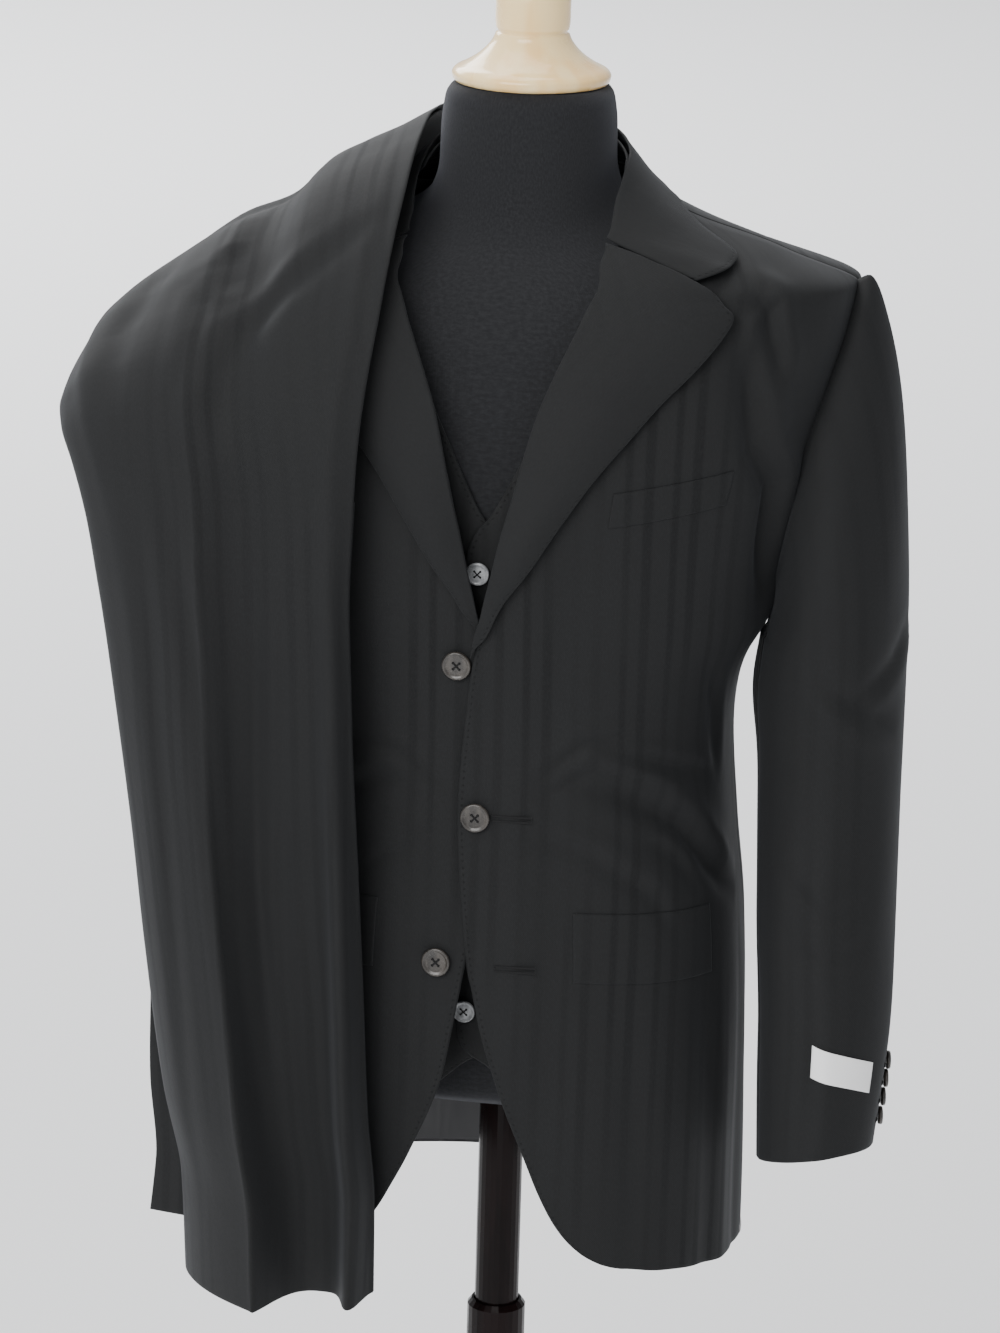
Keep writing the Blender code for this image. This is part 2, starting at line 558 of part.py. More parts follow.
def leg_profile(at, s):
    """How far the leg in front stands out: a pressed crease, a rounded lip by the neck-side edge and a little body."""
    s = np.asarray(s, float)
    pressed = along(PRESSED, "share", at)
    arm_side = np.clip((1 - s) / (1 - pressed), 0, 1) ** 1.1
    neck_side = np.exp(-(np.clip((pressed - s) / 0.10, 0, 9) ** 1.5))
    ridge = np.where(s > pressed, arm_side, neck_side)
    lip = bump(s, 0.070, 0.070) * step(0.0, 0.05, s)
    body = 1 - np.abs(2 * np.clip(s, 0, 1) - 1) ** 4
    return along(BULGE, "ridge", at) * ridge + along(BULGE, "lip", at) * lip + along(BULGE, "body", at) * body


def leg_front_outer(at, s, out=0.0):
    return fall_point(at, s, along(BULGE, "stack", at) + TROUSER + leg_profile(at, s) + out, 0.30)


def leg_front_inner(at, s, out=0.0):
    return fall_point(at, s, along(BULGE, "stack", at) - 0.0009 + out, 0.30)


def behind_share(at, s):
    inner, outer = along(BEHIND, "inner", at), along(BEHIND, "outer", at)
    return inner + np.asarray(s, float) * (outer - inner)


def leg_behind_outer(at, s, out=0.0):
    rounded = 0.0016 * (1 - np.abs(2 * np.clip(s, 0, 1) - 1) ** 3)
    return fall_point(at, behind_share(at, s), 0.0048 + rounded + out)


def leg_behind_inner(at, s, out=0.0):
    return fall_point(at, behind_share(at, s), TROUSER + out)


# ---------- making solids ----------
for old in list(bpy.data.objects):
    bpy.data.objects.remove(old)


def material(name, colour, roughness, metallic=0.0):
    made = bpy.data.materials.new(name)
    made.use_nodes = True
    shader = made.node_tree.nodes["Principled BSDF"]
    shader.inputs["Base Color"].default_value = (*colour, 1.0)
    shader.inputs["Roughness"].default_value = roughness
    shader.inputs["Metallic"].default_value = metallic
    return made


CLOTH = ((0.021, 0.021, 0.024), 0.85)


def solid(name, points, faces, colour, roughness, metallic=0.0, smooth=True, sharp=35.0):
    mesh = bpy.data.meshes.new(name)
    mesh.from_pydata([tuple(p) for p in points], [], faces)
    shape = bmesh.new()
    shape.from_mesh(mesh)
    bmesh.ops.recalc_face_normals(shape, faces=shape.faces)
    if shape.calc_volume(signed=True) < 0:
        bmesh.ops.reverse_faces(shape, faces=shape.faces)
    shape.to_mesh(mesh)
    shape.free()
    if smooth:
        mesh.shade_smooth()
        mesh.set_sharp_from_angle(angle=np.radians(sharp))
    made = bpy.data.objects.new(name, mesh)
    bpy.context.collection.objects.link(made)
    mesh.materials.append(material(name, colour, roughness, metallic))
    return made


def sheet(name, surface, rows, across, wall, look=CLOTH):
    """A panel: surface(share across, row, moved out) gives its outside, and the wall lies inside that."""
    v, s = np.meshgrid(np.asarray(rows, float), np.asarray(across, float), indexing="ij")
    outer, inner = surface(s, v, 0.0), surface(s, v, -wall)
    nv, ns = v.shape
    points = np.concatenate([outer.reshape(-1, 3), inner.reshape(-1, 3)])

    def at(i, j, side):
        return side * nv * ns + i * ns + j

    faces = []
    for i in range(nv - 1):
        for j in range(ns - 1):
            faces.append((at(i, j, 0), at(i, j + 1, 0), at(i + 1, j + 1, 0), at(i + 1, j, 0)))
            faces.append((at(i, j, 1), at(i + 1, j, 1), at(i + 1, j + 1, 1), at(i, j + 1, 1)))
    for i in range(nv - 1):
        for j in (0, ns - 1):
            faces.append((at(i, j, 0), at(i + 1, j, 0), at(i + 1, j, 1), at(i, j, 1)))
    for j in range(ns - 1):
        for i in (0, nv - 1):
            faces.append((at(i, j, 0), at(i, j, 1), at(i, j + 1, 1), at(i, j + 1, 0)))
    return solid(name, points, faces, *look)


def turned(name, profile, sides, colour, roughness, metallic=0.0, centre=(0.0, 0.0)):
    """A solid turned about a vertical line from (radius, height) pairs, from one end to the other. A bored one ends
    where it starts."""
    ring_count = len(profile)
    points, faces = [], []
    for radius, z in profile:
        for k in range(sides):
            a = 2 * np.pi * k / sides
            points.append((centre[0] + radius * np.cos(a), centre[1] + radius * np.sin(a), z))
    closed = profile[0] == profile[-1]
    if closed:
        points = points[: (ring_count - 1) * sides]
    for i in range(ring_count - 1):
        low, high = i, (i + 1) % (ring_count - 1) if closed else i + 1
        for k in range(sides):
            n = (k + 1) % sides
            faces.append((low * sides + k, low * sides + n, high * sides + n, high * sides + k))
    if not closed:
        faces.append(tuple(range(sides))[::-1])
        faces.append(tuple((ring_count - 1) * sides + k for k in range(sides)))
    return solid(name, points, faces, colour, roughness, metallic)


def button(name, where, outward, diameter, colour, thick=BUTTON_THICK, sides=14):
    """A turned button with a raised rim and a dished face, lying on the cloth at a point."""
    r = diameter / 2
    profile = [(0.80 * r, 0.0), (r, 0.34 * thick), (r, 0.70 * thick), (0.90 * r, thick), (0.70 * r, 0.80 * thick)]
    n = outward / np.linalg.norm(outward)
    side = np.cross((0.0, 0.0, 1.0), n)
    side /= np.linalg.norm(side)
    up = np.cross(n, side)
    points, faces = [], []
    for radius, height in profile:
        for k in range(sides):
            a = 2 * np.pi * k / sides
            points.append(where + n * height + side * radius * np.cos(a) + up * radius * np.sin(a))
    for i in range(len(profile) - 1):
        for k in range(sides):
            m = (k + 1) % sides
            faces.append((i * sides + k, i * sides + m, (i + 1) * sides + m, (i + 1) * sides + k))
    faces.append(tuple(range(sides)))
    faces.append(tuple((len(profile) - 1) * sides + k for k in range(sides)))
    return solid(name, points, faces, colour, 0.35)


def spread(low, high, count):
    return np.linspace(low, high, count)


# ---------- the stand ----------
DARK_WOOD = (0.030, 0.017, 0.012)
turned("stand_base", [
    (BASE_RADIUS - 0.004, 0.0), (BASE_RADIUS, 0.004), (BASE_RADIUS, 0.014), (BASE_RADIUS - 0.008, BASE_THICK),
    (0.060, BASE_THICK + 0.004), (0.034, BASE_THICK + 0.016)], 40, DARK_WOOD, 0.30)
turned("stand_tube", [
    (TUBE_BORE, BASE_THICK + 0.0163), (TUBE_RADIUS + 0.004, BASE_THICK + 0.0163), (TUBE_RADIUS + 0.004, 0.060),
    (TUBE_RADIUS, 0.068), (TUBE_RADIUS, TUBE_TOP), (TUBE_BORE, TUBE_TOP), (TUBE_BORE, BASE_THICK + 0.0163)],
    24, DARK_WOOD, 0.28)
turned("stand_clamp_collar", [
    (TUBE_BORE, TUBE_TOP + SEAM), (CLAMP_RADIUS - 0.0015, TUBE_TOP + SEAM), (CLAMP_RADIUS, TUBE_TOP + 0.002),
    (CLAMP_RADIUS, CLAMP_TOP - 0.004), (CLAMP_RADIUS - 0.003, CLAMP_TOP), (TUBE_BORE, CLAMP_TOP),
    (TUBE_BORE, TUBE_TOP + SEAM)], 24, DARK_WOOD, 0.28)
turned("pole", [
    (POLE_RADIUS - 0.001, POLE_FOOT), (POLE_RADIUS, POLE_FOOT + 0.001), (POLE_RADIUS, TORSO_FOOT - 0.020),
    (POLE_RADIUS + 0.006, TORSO_FOOT - 0.012), (FLANGE_RADIUS - 0.002, TORSO_FOOT - SEAM - FLANGE_THICK),
    (FLANGE_RADIUS, TORSO_FOOT - SEAM - FLANGE_THICK + 0.001), (FLANGE_RADIUS, TORSO_FOOT - SEAM)],
    24, DARK_WOOD, 0.25)

# ---------- the form ----------
heights = [0.815, 0.823, 0.845, 0.88, 0.93, 0.98, 1.03, 1.085, 1.14, 1.20, 1.26, 1.31, 1.35, 1.38, 1.400, 1.415,
           1.430, 1.445, 1.460, 1.478, 1.500, 1.520, 1.532, 1.540]
around = spread(-180, 180, 33)[:-1]
tuck = {0.815: -0.010, 0.823: -0.003, 1.532: -0.0012, 1.540: -0.005}
points = np.concatenate([ring_point(FORM, around, z, tuck.get(z, 0.0)) for z in heights])
sides = len(around)
for i, z in enumerate(heights):
    if z in (0.815, 1.540):
        points[i * sides:(i + 1) * sides, 2] = z
faces = []
for i in range(len(heights) - 1):
    for k in range(sides):
        n = (k + 1) % sides
        faces.append((i * sides + k, i * sides + n, (i + 1) * sides + n, (i + 1) * sides + k))
faces.append(tuple(range(sides)))
faces.append(tuple((len(heights) - 1) * sides + k for k in range(sides)))
solid("form_torso", points, faces, (0.030, 0.030, 0.034), 0.95, sharp=80.0)

# the cap: a turned rim, a hollow flare, a groove and a ball
CAP_FOOT = 1.5403
turned("form_neck_cap", [
    (0.0505, CAP_FOOT), (0.0540, CAP_FOOT + 0.0025), (0.0552, CAP_FOOT + 0.0062), (0.0533, CAP_FOOT + 0.0096),
    (0.0462, CAP_FOOT + 0.0134), (0.0382, CAP_FOOT + 0.0184), (0.0316, CAP_FOOT + 0.0244), (0.0272, CAP_FOOT + 0.0304),
    (0.0256, CAP_FOOT + 0.0342), (0.0240, CAP_FOOT + 0.0354), (0.0240, CAP_FOOT + 0.0366), (0.0252, CAP_FOOT + 0.0378),
    (0.0260, CAP_FOOT + 0.0450), (0.0260, CAP_FOOT + 0.0560), (0.0246, CAP_FOOT + 0.0660), (0.0212, CAP_FOOT + 0.0750),
    (0.0155, CAP_FOOT + 0.0815), (0.0080, CAP_FOOT + 0.0850)],
    32, (0.62, 0.46, 0.30), 0.22)

# ---------- the waistcoat ----------
for side, name in ((1, "left"), (-1, "right")):
    sheet(f"vest_front_{name}", lambda s, z, out, side=side: vest_point(side, VEST_FRONT, s, z, out),
          [0.846, 0.858, 0.877, 0.90, 0.955, 1.02, 1.085, 1.16, 1.21, 1.24, 1.27, 1.302, 1.335, 1.36, 1.395, 1.425, 1.448, 1.460],
          [0, 0.06, 0.14, 0.28, 0.46, 0.64, 0.82, 1], WAISTCOAT)
    sheet(f"vest_back_{name}", lambda s, z, out, side=side: vest_point(side, VEST_BACK, s, z, out),
          [0.918, 1.00, 1.08, 1.16, 1.195, 1.24, 1.29, 1.335, 1.37, 1.40, 1.425, 1.448, 1.454, 1.460],
          spread(0, 1, 7), WAISTCOAT, ((0.016, 0.016, 0.018), 0.45))

PEARL = (0.42, 0.40, 0.37)
VEST_TOP_BUTTON, VEST_PITCH = 1.2240, 0.0647
for k in range(6):
    z = VEST_TOP_BUTTON - VEST_PITCH * k
    angle = -90.6 - 0.2 * k
    hung = 0.009 * (1 - step(0.850, 0.935, z))
    a, b = [ring_point(FORM, angle, z, WAISTCOAT_GAP + WAISTCOAT + 0.0036 + hung + more) for more in (0.0006 + 0.0010 * (k == 5), 0.01)]
    button(f"vest_button_{k + 1}", a, b - a, BUTTON_WAISTCOAT, PEARL, 0.0030)

# ---------- the jacket ----------
FRONT_ROWS = [0.7192, 0.7240, 0.7346, 0.7519, 0.78, 0.82, 0.865, 0.91, 0.96, 1.01, 1.04, 1.065, 1.10, 1.145, 1.1800,
              1.200, 1.232, 1.265, 1.30, 1.3328, 1.366, 1.4000, 1.430, 1.4500, 1.4660, 1.4760, 1.4815]
FRONT_ACROSS = [0, 0.04, 0.11, 0.22, 0.35, 0.49, 0.63, 0.80, 1]
BACK_ROWS = [0.697, 0.76, 0.82, 0.88, 0.94, 1.00, 1.06, 1.12, 1.165, 1.19, 1.225, 1.27, 1.315, 1.36, 1.40, 1.435, 1.456,
             1.472, 1.4755, 1.4785, 1.4815]
for side, name in ((1, "left"), (-1, "right")):
    sheet(f"jacket_front_{name}", lambda s, z, out, side=side: front_point(side, s, z, out), FRONT_ROWS, FRONT_ACROSS, SUITING)
    sheet(f"jacket_back_{name}", lambda s, z, out, side=side: back_point(side, s, z, out), BACK_ROWS, spread(0, 1, 8), SUITING)
    rows = [1.174, 1.192, 1.207, 1.227, 1.255, 1.285, 1.315, 1.345, 1.37, 1.392, 1.418, 1.437, 1.4515]
    if side < 0:
        rows[0] = 1.1930
        del rows[1]
    sheet(f"jacket_lapel_{name}", lambda s, z, out, side=side: lapel_point(side, s, z, out + LAPEL_WALL), rows,
          [0, 0.15, 0.4, 0.7, 1], LAPEL_WALL)
    turns_upper = spread(FORE_SEAM + 0.25, HIND_SEAM - 0.25, 10)
    turns_under = spread(HIND_SEAM + 0.25, FORE_SEAM + 360 - 0.25, 9)
    downs = [0, 0.10, 0.25, 0.45, 0.70, 1.0, 1.25, 1.5, 1.75, 2.0]
    sheet(f"jacket_sleeve_{name}_upper", lambda s, v, out, side=side: sleeve_point(side, s, v, out), downs, turns_upper, SUITING)
    sheet(f"jacket_sleeve_{name}_under", lambda s, v, out, side=side: sleeve_point(side, s, v, out), downs, turns_under, SUITING)

sheet("jacket_collar_leaf", lambda s, at, out: leaf_point(at, s, out + LEAF_WALL), spread(0, 2, 31), [0, 0.33, 0.66, 1], LEAF_WALL)
sheet("jacket_collar_stand", lambda s, at, out: stand_point(at, s, out), spread(0, 2, 21), [0, 1], 0.0016)

# pockets: from the front's own points, moved out
def patch(side, angle_in, angle_out, top_in, top_out, height, out, lift=0.0010, wall=0.0018):
    def surface(s, v, more):
        angle = angle_in + s * (angle_out - angle_in)
        z = top_in + s * (top_out - top_in) - v * height
        return jacket_point(side, angle, z, lift + wall + more + front_lift(side, angle, z))
    return surface


sheet("jacket_breast_welt", patch(1, -70.0, -43.0, 1.2868, 1.3012, 0.024, 0), [0, 1], spread(0, 1, 8), 0.0018)
for side, name in ((1, "left"), (-1, "right")):
    sheet(f"jacket_flap_{name}", patch(side, -70.5, -24.0, 0.984, 0.978, 0.050, 0), spread(0, 1, 3), spread(0, 1, 9), 0.0018)

HORN = (0.115, 0.100, 0.092)
for number, side, angle, z, lift in ((1, -1, -87.0, 1.1592, 0.0), (2, 1, -90.0, 1.0510, OVERLAP_LIFT), (3, -1, -84.8, 0.9432, 0.0)):
    a, b = [jacket_point(side, angle, z, lift + more) for more in (0.0008, 0.010)]
    button(f"jacket_button_{number}", a, b - a, BUTTON_JACKET, HORN)

for side, name in ((1, "left"), (-1, "right")):
    for k in range(4):
        v = 1 + (ARMPIT - (0.8585 - 0.0142 * k)) / SLEEVE_LENGTH
        a, b = [sleeve_point(side, HIND_SEAM - 9.0, v, more) for more in (0.0008, 0.010)]
        button(f"cuff_{name}_button_{k + 1}", a, b - a, BUTTON_CUFF, HORN, 0.0032, 12)


def label_point(s, v, out):
    turn = -93.0 + 60.0 * s
    down = 0.283 + 0.013 * s + 0.0245 * v
    return sleeve_point(1, turn, 1 + down / SLEEVE_LENGTH, 0.0005 + 0.0006 + out)


sheet("sleeve_label", label_point, [0, 1], spread(0, 1, 7), 0.0006, ((0.72, 0.68, 0.60), 0.45))

# ---------- the trousers ----------
LEG_ACROSS = [0, 0.035, 0.085, 0.15, 0.24, 0.34, 0.43, 0.515, 0.63, 0.76, 0.88, 1]
LEG_ROWS = [0, 0.10, 0.20, 0.30, 0.40, 0.48, 0.55, 0.61, 0.67, 0.72, 0.77, 0.82, 0.86, 0.90, 0.935, 0.97, 1.01, 1.06, 1.12, BAND_AT - 0.0004]
sheet("trouser_leg_a_outer", lambda s, at, out: leg_front_outer(at, s, out), LEG_ROWS, LEG_ACROSS, TROUSER)
sheet("trouser_leg_a_inner", lambda s, at, out: leg_front_inner(at, s, out), [0, 0.10, 0.20, 0.30, 0.40, 0.48, 0.55, FORK_AT], spread(0, 1, 6), TROUSER)
sheet("trouser_leg_b_outer", lambda s, at, out: leg_behind_outer(at, s, out),
      [HEM_BEHIND, 0.10, 0.17, 0.24, 0.33, 0.43, 0.52, FORK_AT], spread(0, 1, 7), TROUSER)
sheet("trouser_leg_b_inner", lambda s, at, out: leg_behind_inner(at, s, out),
      [HEM_BEHIND] + LEG_ROWS[1:2] + [0.17] + LEG_ROWS[2:], [0, 0.10, 0.22, 0.36, 0.50, 0.63, 0.76, 0.88, 1], TROUSER)
sheet("trouser_waistband_outer", lambda s, at, out: leg_front_outer(at, s, out + 0.0010), [BAND_AT, WAIST_AT], spread(0, 1, 8), 0.0025)
sheet("trouser_waistband_inner", lambda s, at, out: leg_behind_inner(at, s, out), [BAND_AT, WAIST_AT], spread(0, 1, 8), TROUSER)
for k, share in enumerate((0.12, 0.42, 0.80)):
    sheet(f"trouser_belt_loop_{k + 1}", lambda s, at, out, share=share: leg_front_outer(at, share + 0.042 * s, out + 0.0032),
          [BAND_AT - 0.004, WAIST_AT - 0.001], [0, 1], 0.0012)
sheet("trouser_pocket_welt", lambda s, at, out: leg_front_outer(at, 0.36 + 0.50 * s, out + 0.0014), [1.128, 1.140], spread(0, 1, 6), 0.0010)
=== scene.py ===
from collections import namedtuple

import bmesh
import bpy
import numpy as np
from mathutils import Matrix, Vector


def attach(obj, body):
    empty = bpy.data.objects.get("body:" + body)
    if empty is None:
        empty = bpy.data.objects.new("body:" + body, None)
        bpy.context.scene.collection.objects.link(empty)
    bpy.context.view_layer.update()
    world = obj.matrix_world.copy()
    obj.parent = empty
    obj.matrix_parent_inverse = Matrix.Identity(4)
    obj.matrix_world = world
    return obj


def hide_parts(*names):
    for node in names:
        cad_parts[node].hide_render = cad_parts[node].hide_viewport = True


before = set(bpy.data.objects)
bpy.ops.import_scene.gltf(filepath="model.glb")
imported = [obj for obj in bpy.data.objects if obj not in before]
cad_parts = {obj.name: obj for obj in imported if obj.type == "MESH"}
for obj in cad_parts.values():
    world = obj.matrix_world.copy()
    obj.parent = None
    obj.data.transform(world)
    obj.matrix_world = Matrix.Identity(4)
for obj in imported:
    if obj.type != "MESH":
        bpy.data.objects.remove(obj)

# ---------- driving sizes, in metres ----------
SUITING = 0.0018          # wall of the jacket's body: cloth and its interlining
WAISTCOAT = 0.0016        # wall of the waistcoat
TROUSER = 0.0015          # wall of the trouser cloth
SEAM = 0.0003             # gap between two pieces at a seam
LAPEL_LIFT = 0.0030       # from the front's face to the underside of the lapel
LAPEL_WALL = 0.0022
LEAF_LIFT = 0.0024         # from the back and the fronts to the underside of the collar's leaf
LEAF_WALL = 0.0018
OVERLAP_LIFT = 0.0044     # how far the left front stands over the right one
BUTTON_JACKET = 0.0205    # diameter
BUTTON_CUFF = 0.0133
BUTTON_WAISTCOAT = 0.0165
BUTTON_THICK = 0.0036
WAISTCOAT_GAP = 0.0030    # from the form to the waistcoat's inside

TORSO_FOOT = 0.815        # underside of the form
POLE_RADIUS = 0.0162
TUBE_RADIUS = 0.0190
TUBE_BORE = 0.0170
TUBE_TOP = 0.600
CLAMP_RADIUS = 0.0215
CLAMP_TOP = 0.634
POLE_FOOT = 0.290
FLANGE_RADIUS = 0.050
FLANGE_THICK = 0.006
BASE_RADIUS = 0.175
BASE_THICK = 0.022
SLEEVE_LENGTH = 0.368     # from the armpit to the cuff's hem


def along(rows, key, at):
    """A column of a table of rows, read smoothly (monotone cubic) at one place or many."""
    x = np.array([row[0] for row in rows], float)
    y = np.array([getattr(row, key) for row in rows], float)
    at = np.clip(np.asarray(at, float), x[0], x[-1])
    h = np.diff(x)
    d = np.diff(y) / h
    m = np.zeros_like(y)
    m[0], m[-1] = d[0], d[-1]
    for i in range(1, len(x) - 1):
        if d[i - 1] * d[i] > 0:
            w1, w2 = 2 * h[i] + h[i - 1], h[i] + 2 * h[i - 1]
            m[i] = (w1 + w2) / (w1 / d[i - 1] + w2 / d[i])
    i = np.clip(np.searchsorted(x, at, side="right") - 1, 0, len(h) - 1)
    t = (at - x[i]) / h[i]
    return (
        y[i] * (1 + 2 * t) * (1 - t) ** 2
        + m[i] * h[i] * t * (1 - t) ** 2
        + y[i + 1] * t * t * (3 - 2 * t)
        + m[i + 1] * h[i] * t * t * (t - 1)
    )


def step(a, b, x):
    t = np.clip((np.asarray(x, float) - a) / (b - a), 0, 1)
    return t * t * (3 - 2 * t)


def bump(x, centre, width):
    return np.exp(-(((np.asarray(x, float) - centre) / width) ** 2))


# ---------- the form and the jacket's body: rings from the bottom up ----------
Ring = namedtuple("Ring", "z half front back dip rise")

# half width, depth to the front and to the back, how far the ring dips at the front and rises at the back
FORM = [
    Ring(0.815, 0.146, 0.084, 0.100, 0.0, 0.0),
    Ring(0.870, 0.157, 0.099, 0.112, 0.0, 0.0),
    Ring(0.940, 0.155, 0.105, 0.110, 0.0, 0.0),
    Ring(1.020, 0.145, 0.106, 0.100, 0.0, 0.0),
    Ring(1.085, 0.140, 0.108, 0.096, 0.0, 0.0),
    Ring(1.160, 0.148, 0.116, 0.103, 0.0, 0.0),
    Ring(1.250, 0.164, 0.126, 0.115, 0.0, 0.0),
    Ring(1.320, 0.176, 0.122, 0.118, 0.0, 0.0),
    Ring(1.370, 0.183, 0.112, 0.114, 0.0, -0.003),
    Ring(1.398, 0.182, 0.102, 0.108, 0.002, -0.009),
    Ring(1.418, 0.164, 0.092, 0.101, 0.005, -0.013),
    Ring(1.436, 0.121, 0.081, 0.090, 0.009, -0.013),
    Ring(1.452, 0.086, 0.070, 0.077, 0.013, -0.006),
    Ring(1.468, 0.0665, 0.063, 0.066, 0.015, 0.003),
    Ring(1.490, 0.0610, 0.059, 0.061, 0.015, 0.008),
    Ring(1.515, 0.0605, 0.057, 0.058, 0.010, 0.007),
    Ring(1.540, 0.0570, 0.055, 0.055, 0.002, 0.002),
]

JACKET = [
    Ring(0.700, 0.1765, 0.148, 0.146, 0.0, 0.0),
    Ring(0.800, 0.1755, 0.146, 0.142, 0.0, 0.0),
    Ring(0.880, 0.1740, 0.144, 0.137, 0.0, 0.0),
    Ring(0.950, 0.1700, 0.141, 0.130, 0.0, 0.0),
    Ring(1.020, 0.1620, 0.137, 0.121, 0.0, 0.0),
    Ring(1.090, 0.1575, 0.136, 0.116, 0.0, 0.0),
    Ring(1.150, 0.1640, 0.140, 0.120, 0.0, 0.0),
    Ring(1.200, 0.1800, 0.144, 0.128, 0.0, 0.0),
    Ring(1.250, 0.1980, 0.147, 0.135, 0.0, 0.0),
    Ring(1.300, 0.2120, 0.145, 0.138, 0.0, 0.0),
    Ring(1.350, 0.2230, 0.137, 0.136, 0.0, 0.0),
    Ring(1.390, 0.2310, 0.125, 0.130, 0.0, -0.006),
    Ring(1.415, 0.2330, 0.113, 0.123, 0.0, -0.012),
    Ring(1.436, 0.1800, 0.101, 0.114, 0.004, -0.014),
    Ring(1.454, 0.1230, 0.090, 0.103, 0.008, -0.010),
    Ring(1.468, 0.0930, 0.081, 0.090, 0.011, -0.002),
    Ring(1.480, 0.0765, 0.075, 0.081, 0.013, 0.005),
    Ring(1.495, 0.0655, 0.071, 0.074, 0.014, 0.010),
    Ring(1.515, 0.0620, 0.068, 0.070, 0.014, 0.012),
    Ring(1.530, 0.0610, 0.066, 0.068, 0.014, 0.012),
]

SQUARE = 2.5  # how square a ring of the body is: 2 is an ellipse, as round the back of the neck


def ring_point(rings, degrees, z, out=0.0):
    """The point of a ringed surface at an angle (0 = the side, -90 = front, 90 = back), moved out along the surface's normal."""
    degrees, z = np.broadcast_arrays(np.asarray(degrees, float), np.asarray(z, float))
    low, high = rings[0].z, rings[-1].z

    def raw(deg, zz):
        a = np.radians(deg)
        c, s = np.cos(a), np.sin(a)
        half = along(rings, "half", zz)
        depth = np.where(s < 0, along(rings, "front", zz), along(rings, "back", zz))
        square = SQUARE - 0.5 * step(1.43, 1.475, zz) * step(-0.1, 0.2, s)
        x = half * np.sign(c) * np.abs(c) ** (2 / square)
        y = depth * np.sign(s) * np.abs(s) ** (2 / square)
        return np.stack([x, y, zz + np.where(s < 0, along(rings, "dip", zz), along(rings, "rise", zz)) * s], -1)

    p = raw(degrees, z)
    da = raw(degrees + 1.5, z) - raw(degrees - 1.5, z)
    dz = raw(degrees, np.minimum(z + 0.003, high)) - raw(degrees, np.maximum(z - 0.003, low))
    n = np.cross(da, dz)
    n /= np.linalg.norm(n, axis=-1, keepdims=True) + 1e-12
    return p + n * np.broadcast_to(np.asarray(out, float), z.shape)[..., None]


def settle_right(p):
    """The right shoulder lies lower, pressed by the trousers that hang over it."""
    x, z = np.abs(p[..., 0]), p[..., 2]
    low = 0.006 * step(0.07, 0.12, x) + 0.011 * step(0.14, 0.23, x) + 0.008 * step(0.235, 0.265, x)
    low = low + 0.006 * step(0.13, 0.17, x) * step(0.02, 0.06, -p[..., 1])
    p[..., 2] = z - low * step(1.27, 1.40, z)
    return p


def jacket_folds(side, angle, z):
    """The jacket's largest folds, in metres in or out."""
    drape = along(DRAPE, "angle", z)
    out = -0.0065 * bump(angle, drape, 6.0) * step(1.20, 1.27, z) * (1 - step(1.39, 1.43, z))
    out = out + 0.0040 * bump(angle, drape - 15.0, 8.0) * step(1.22, 1.29, z) * (1 - step(1.38, 1.42, z))
    crease = along(WAIST_CREASE, "z", angle)
    out = out - 0.0035 * bump(z, crease, 0.013) * step(-68, -55, angle) * (1 - step(-14, -4, angle))
    out = out + 0.0025 * bump(z, crease + 0.026, 0.014) * step(-66, -50, angle) * (1 - step(-20, -6, angle))
    return out


Drape = namedtuple("Drape", "z angle")
DRAPE = [Drape(1.18, -14.0), Drape(1.212, -17.0), Drape(1.282, -27.0), Drape(1.315, -37.0), Drape(1.378, -45.0), Drape(1.42, -46.0)]
Crease = namedtuple("Crease", "angle z")
WAIST_CREASE = [Crease(-70.0, 1.078), Crease(-58.0, 1.070), Crease(-34.6, 1.038), Crease(-25.8, 1.015), Crease(-14.0, 0.989), Crease(10.0, 0.975)]


def jacket_point(side, angle, z, out=0.0):
    """A point of the jacket's outside; side is 1 on the wearer's left and -1 on the right."""
    angle, z = np.broadcast_arrays(np.asarray(angle, float), np.asarray(z, float))
    pressed = 0.005 * step(-72.0, -62.0, angle) * (1 - step(-50.0, -36.0, angle)) * step(1.35, 1.39, z) if side < 0 else 0.0
    p = ring_point(JACKET, angle, z, jacket_folds(side, angle, z) - pressed + out)
    if side < 0:
        p[..., 0] *= -1
        p = settle_right(p)
    return p


# ---------- the armhole: round it from the shoulder (0) by the back (90) and the underarm (180) to the front (270) ----------
Hole = namedtuple("Hole", "turn angle z")
ARMHOLE = [
    Hole(0, 0.0, 1.4150),
    Hole(25, 9.0, 1.385),
    Hole(50, 17.0, 1.338),
    Hole(80, 22.0, 1.286),
    Hole(110, 21.0, 1.245),
    Hole(135, 17.0, 1.214),
    Hole(160, 10.5, 1.196),
    Hole(184, 4.0, 1.190),
    Hole(205, -4.0, 1.199),
    Hole(228, -11.5, 1.224),
    Hole(252, -16.0, 1.262),
    Hole(280, -16.5, 1.302),
    Hole(310, -12.0, 1.347),
    Hole(335, -6.0, 1.388),
    Hole(360, 0.0, 1.4150),
]
SIDE_SEAM = 184.0

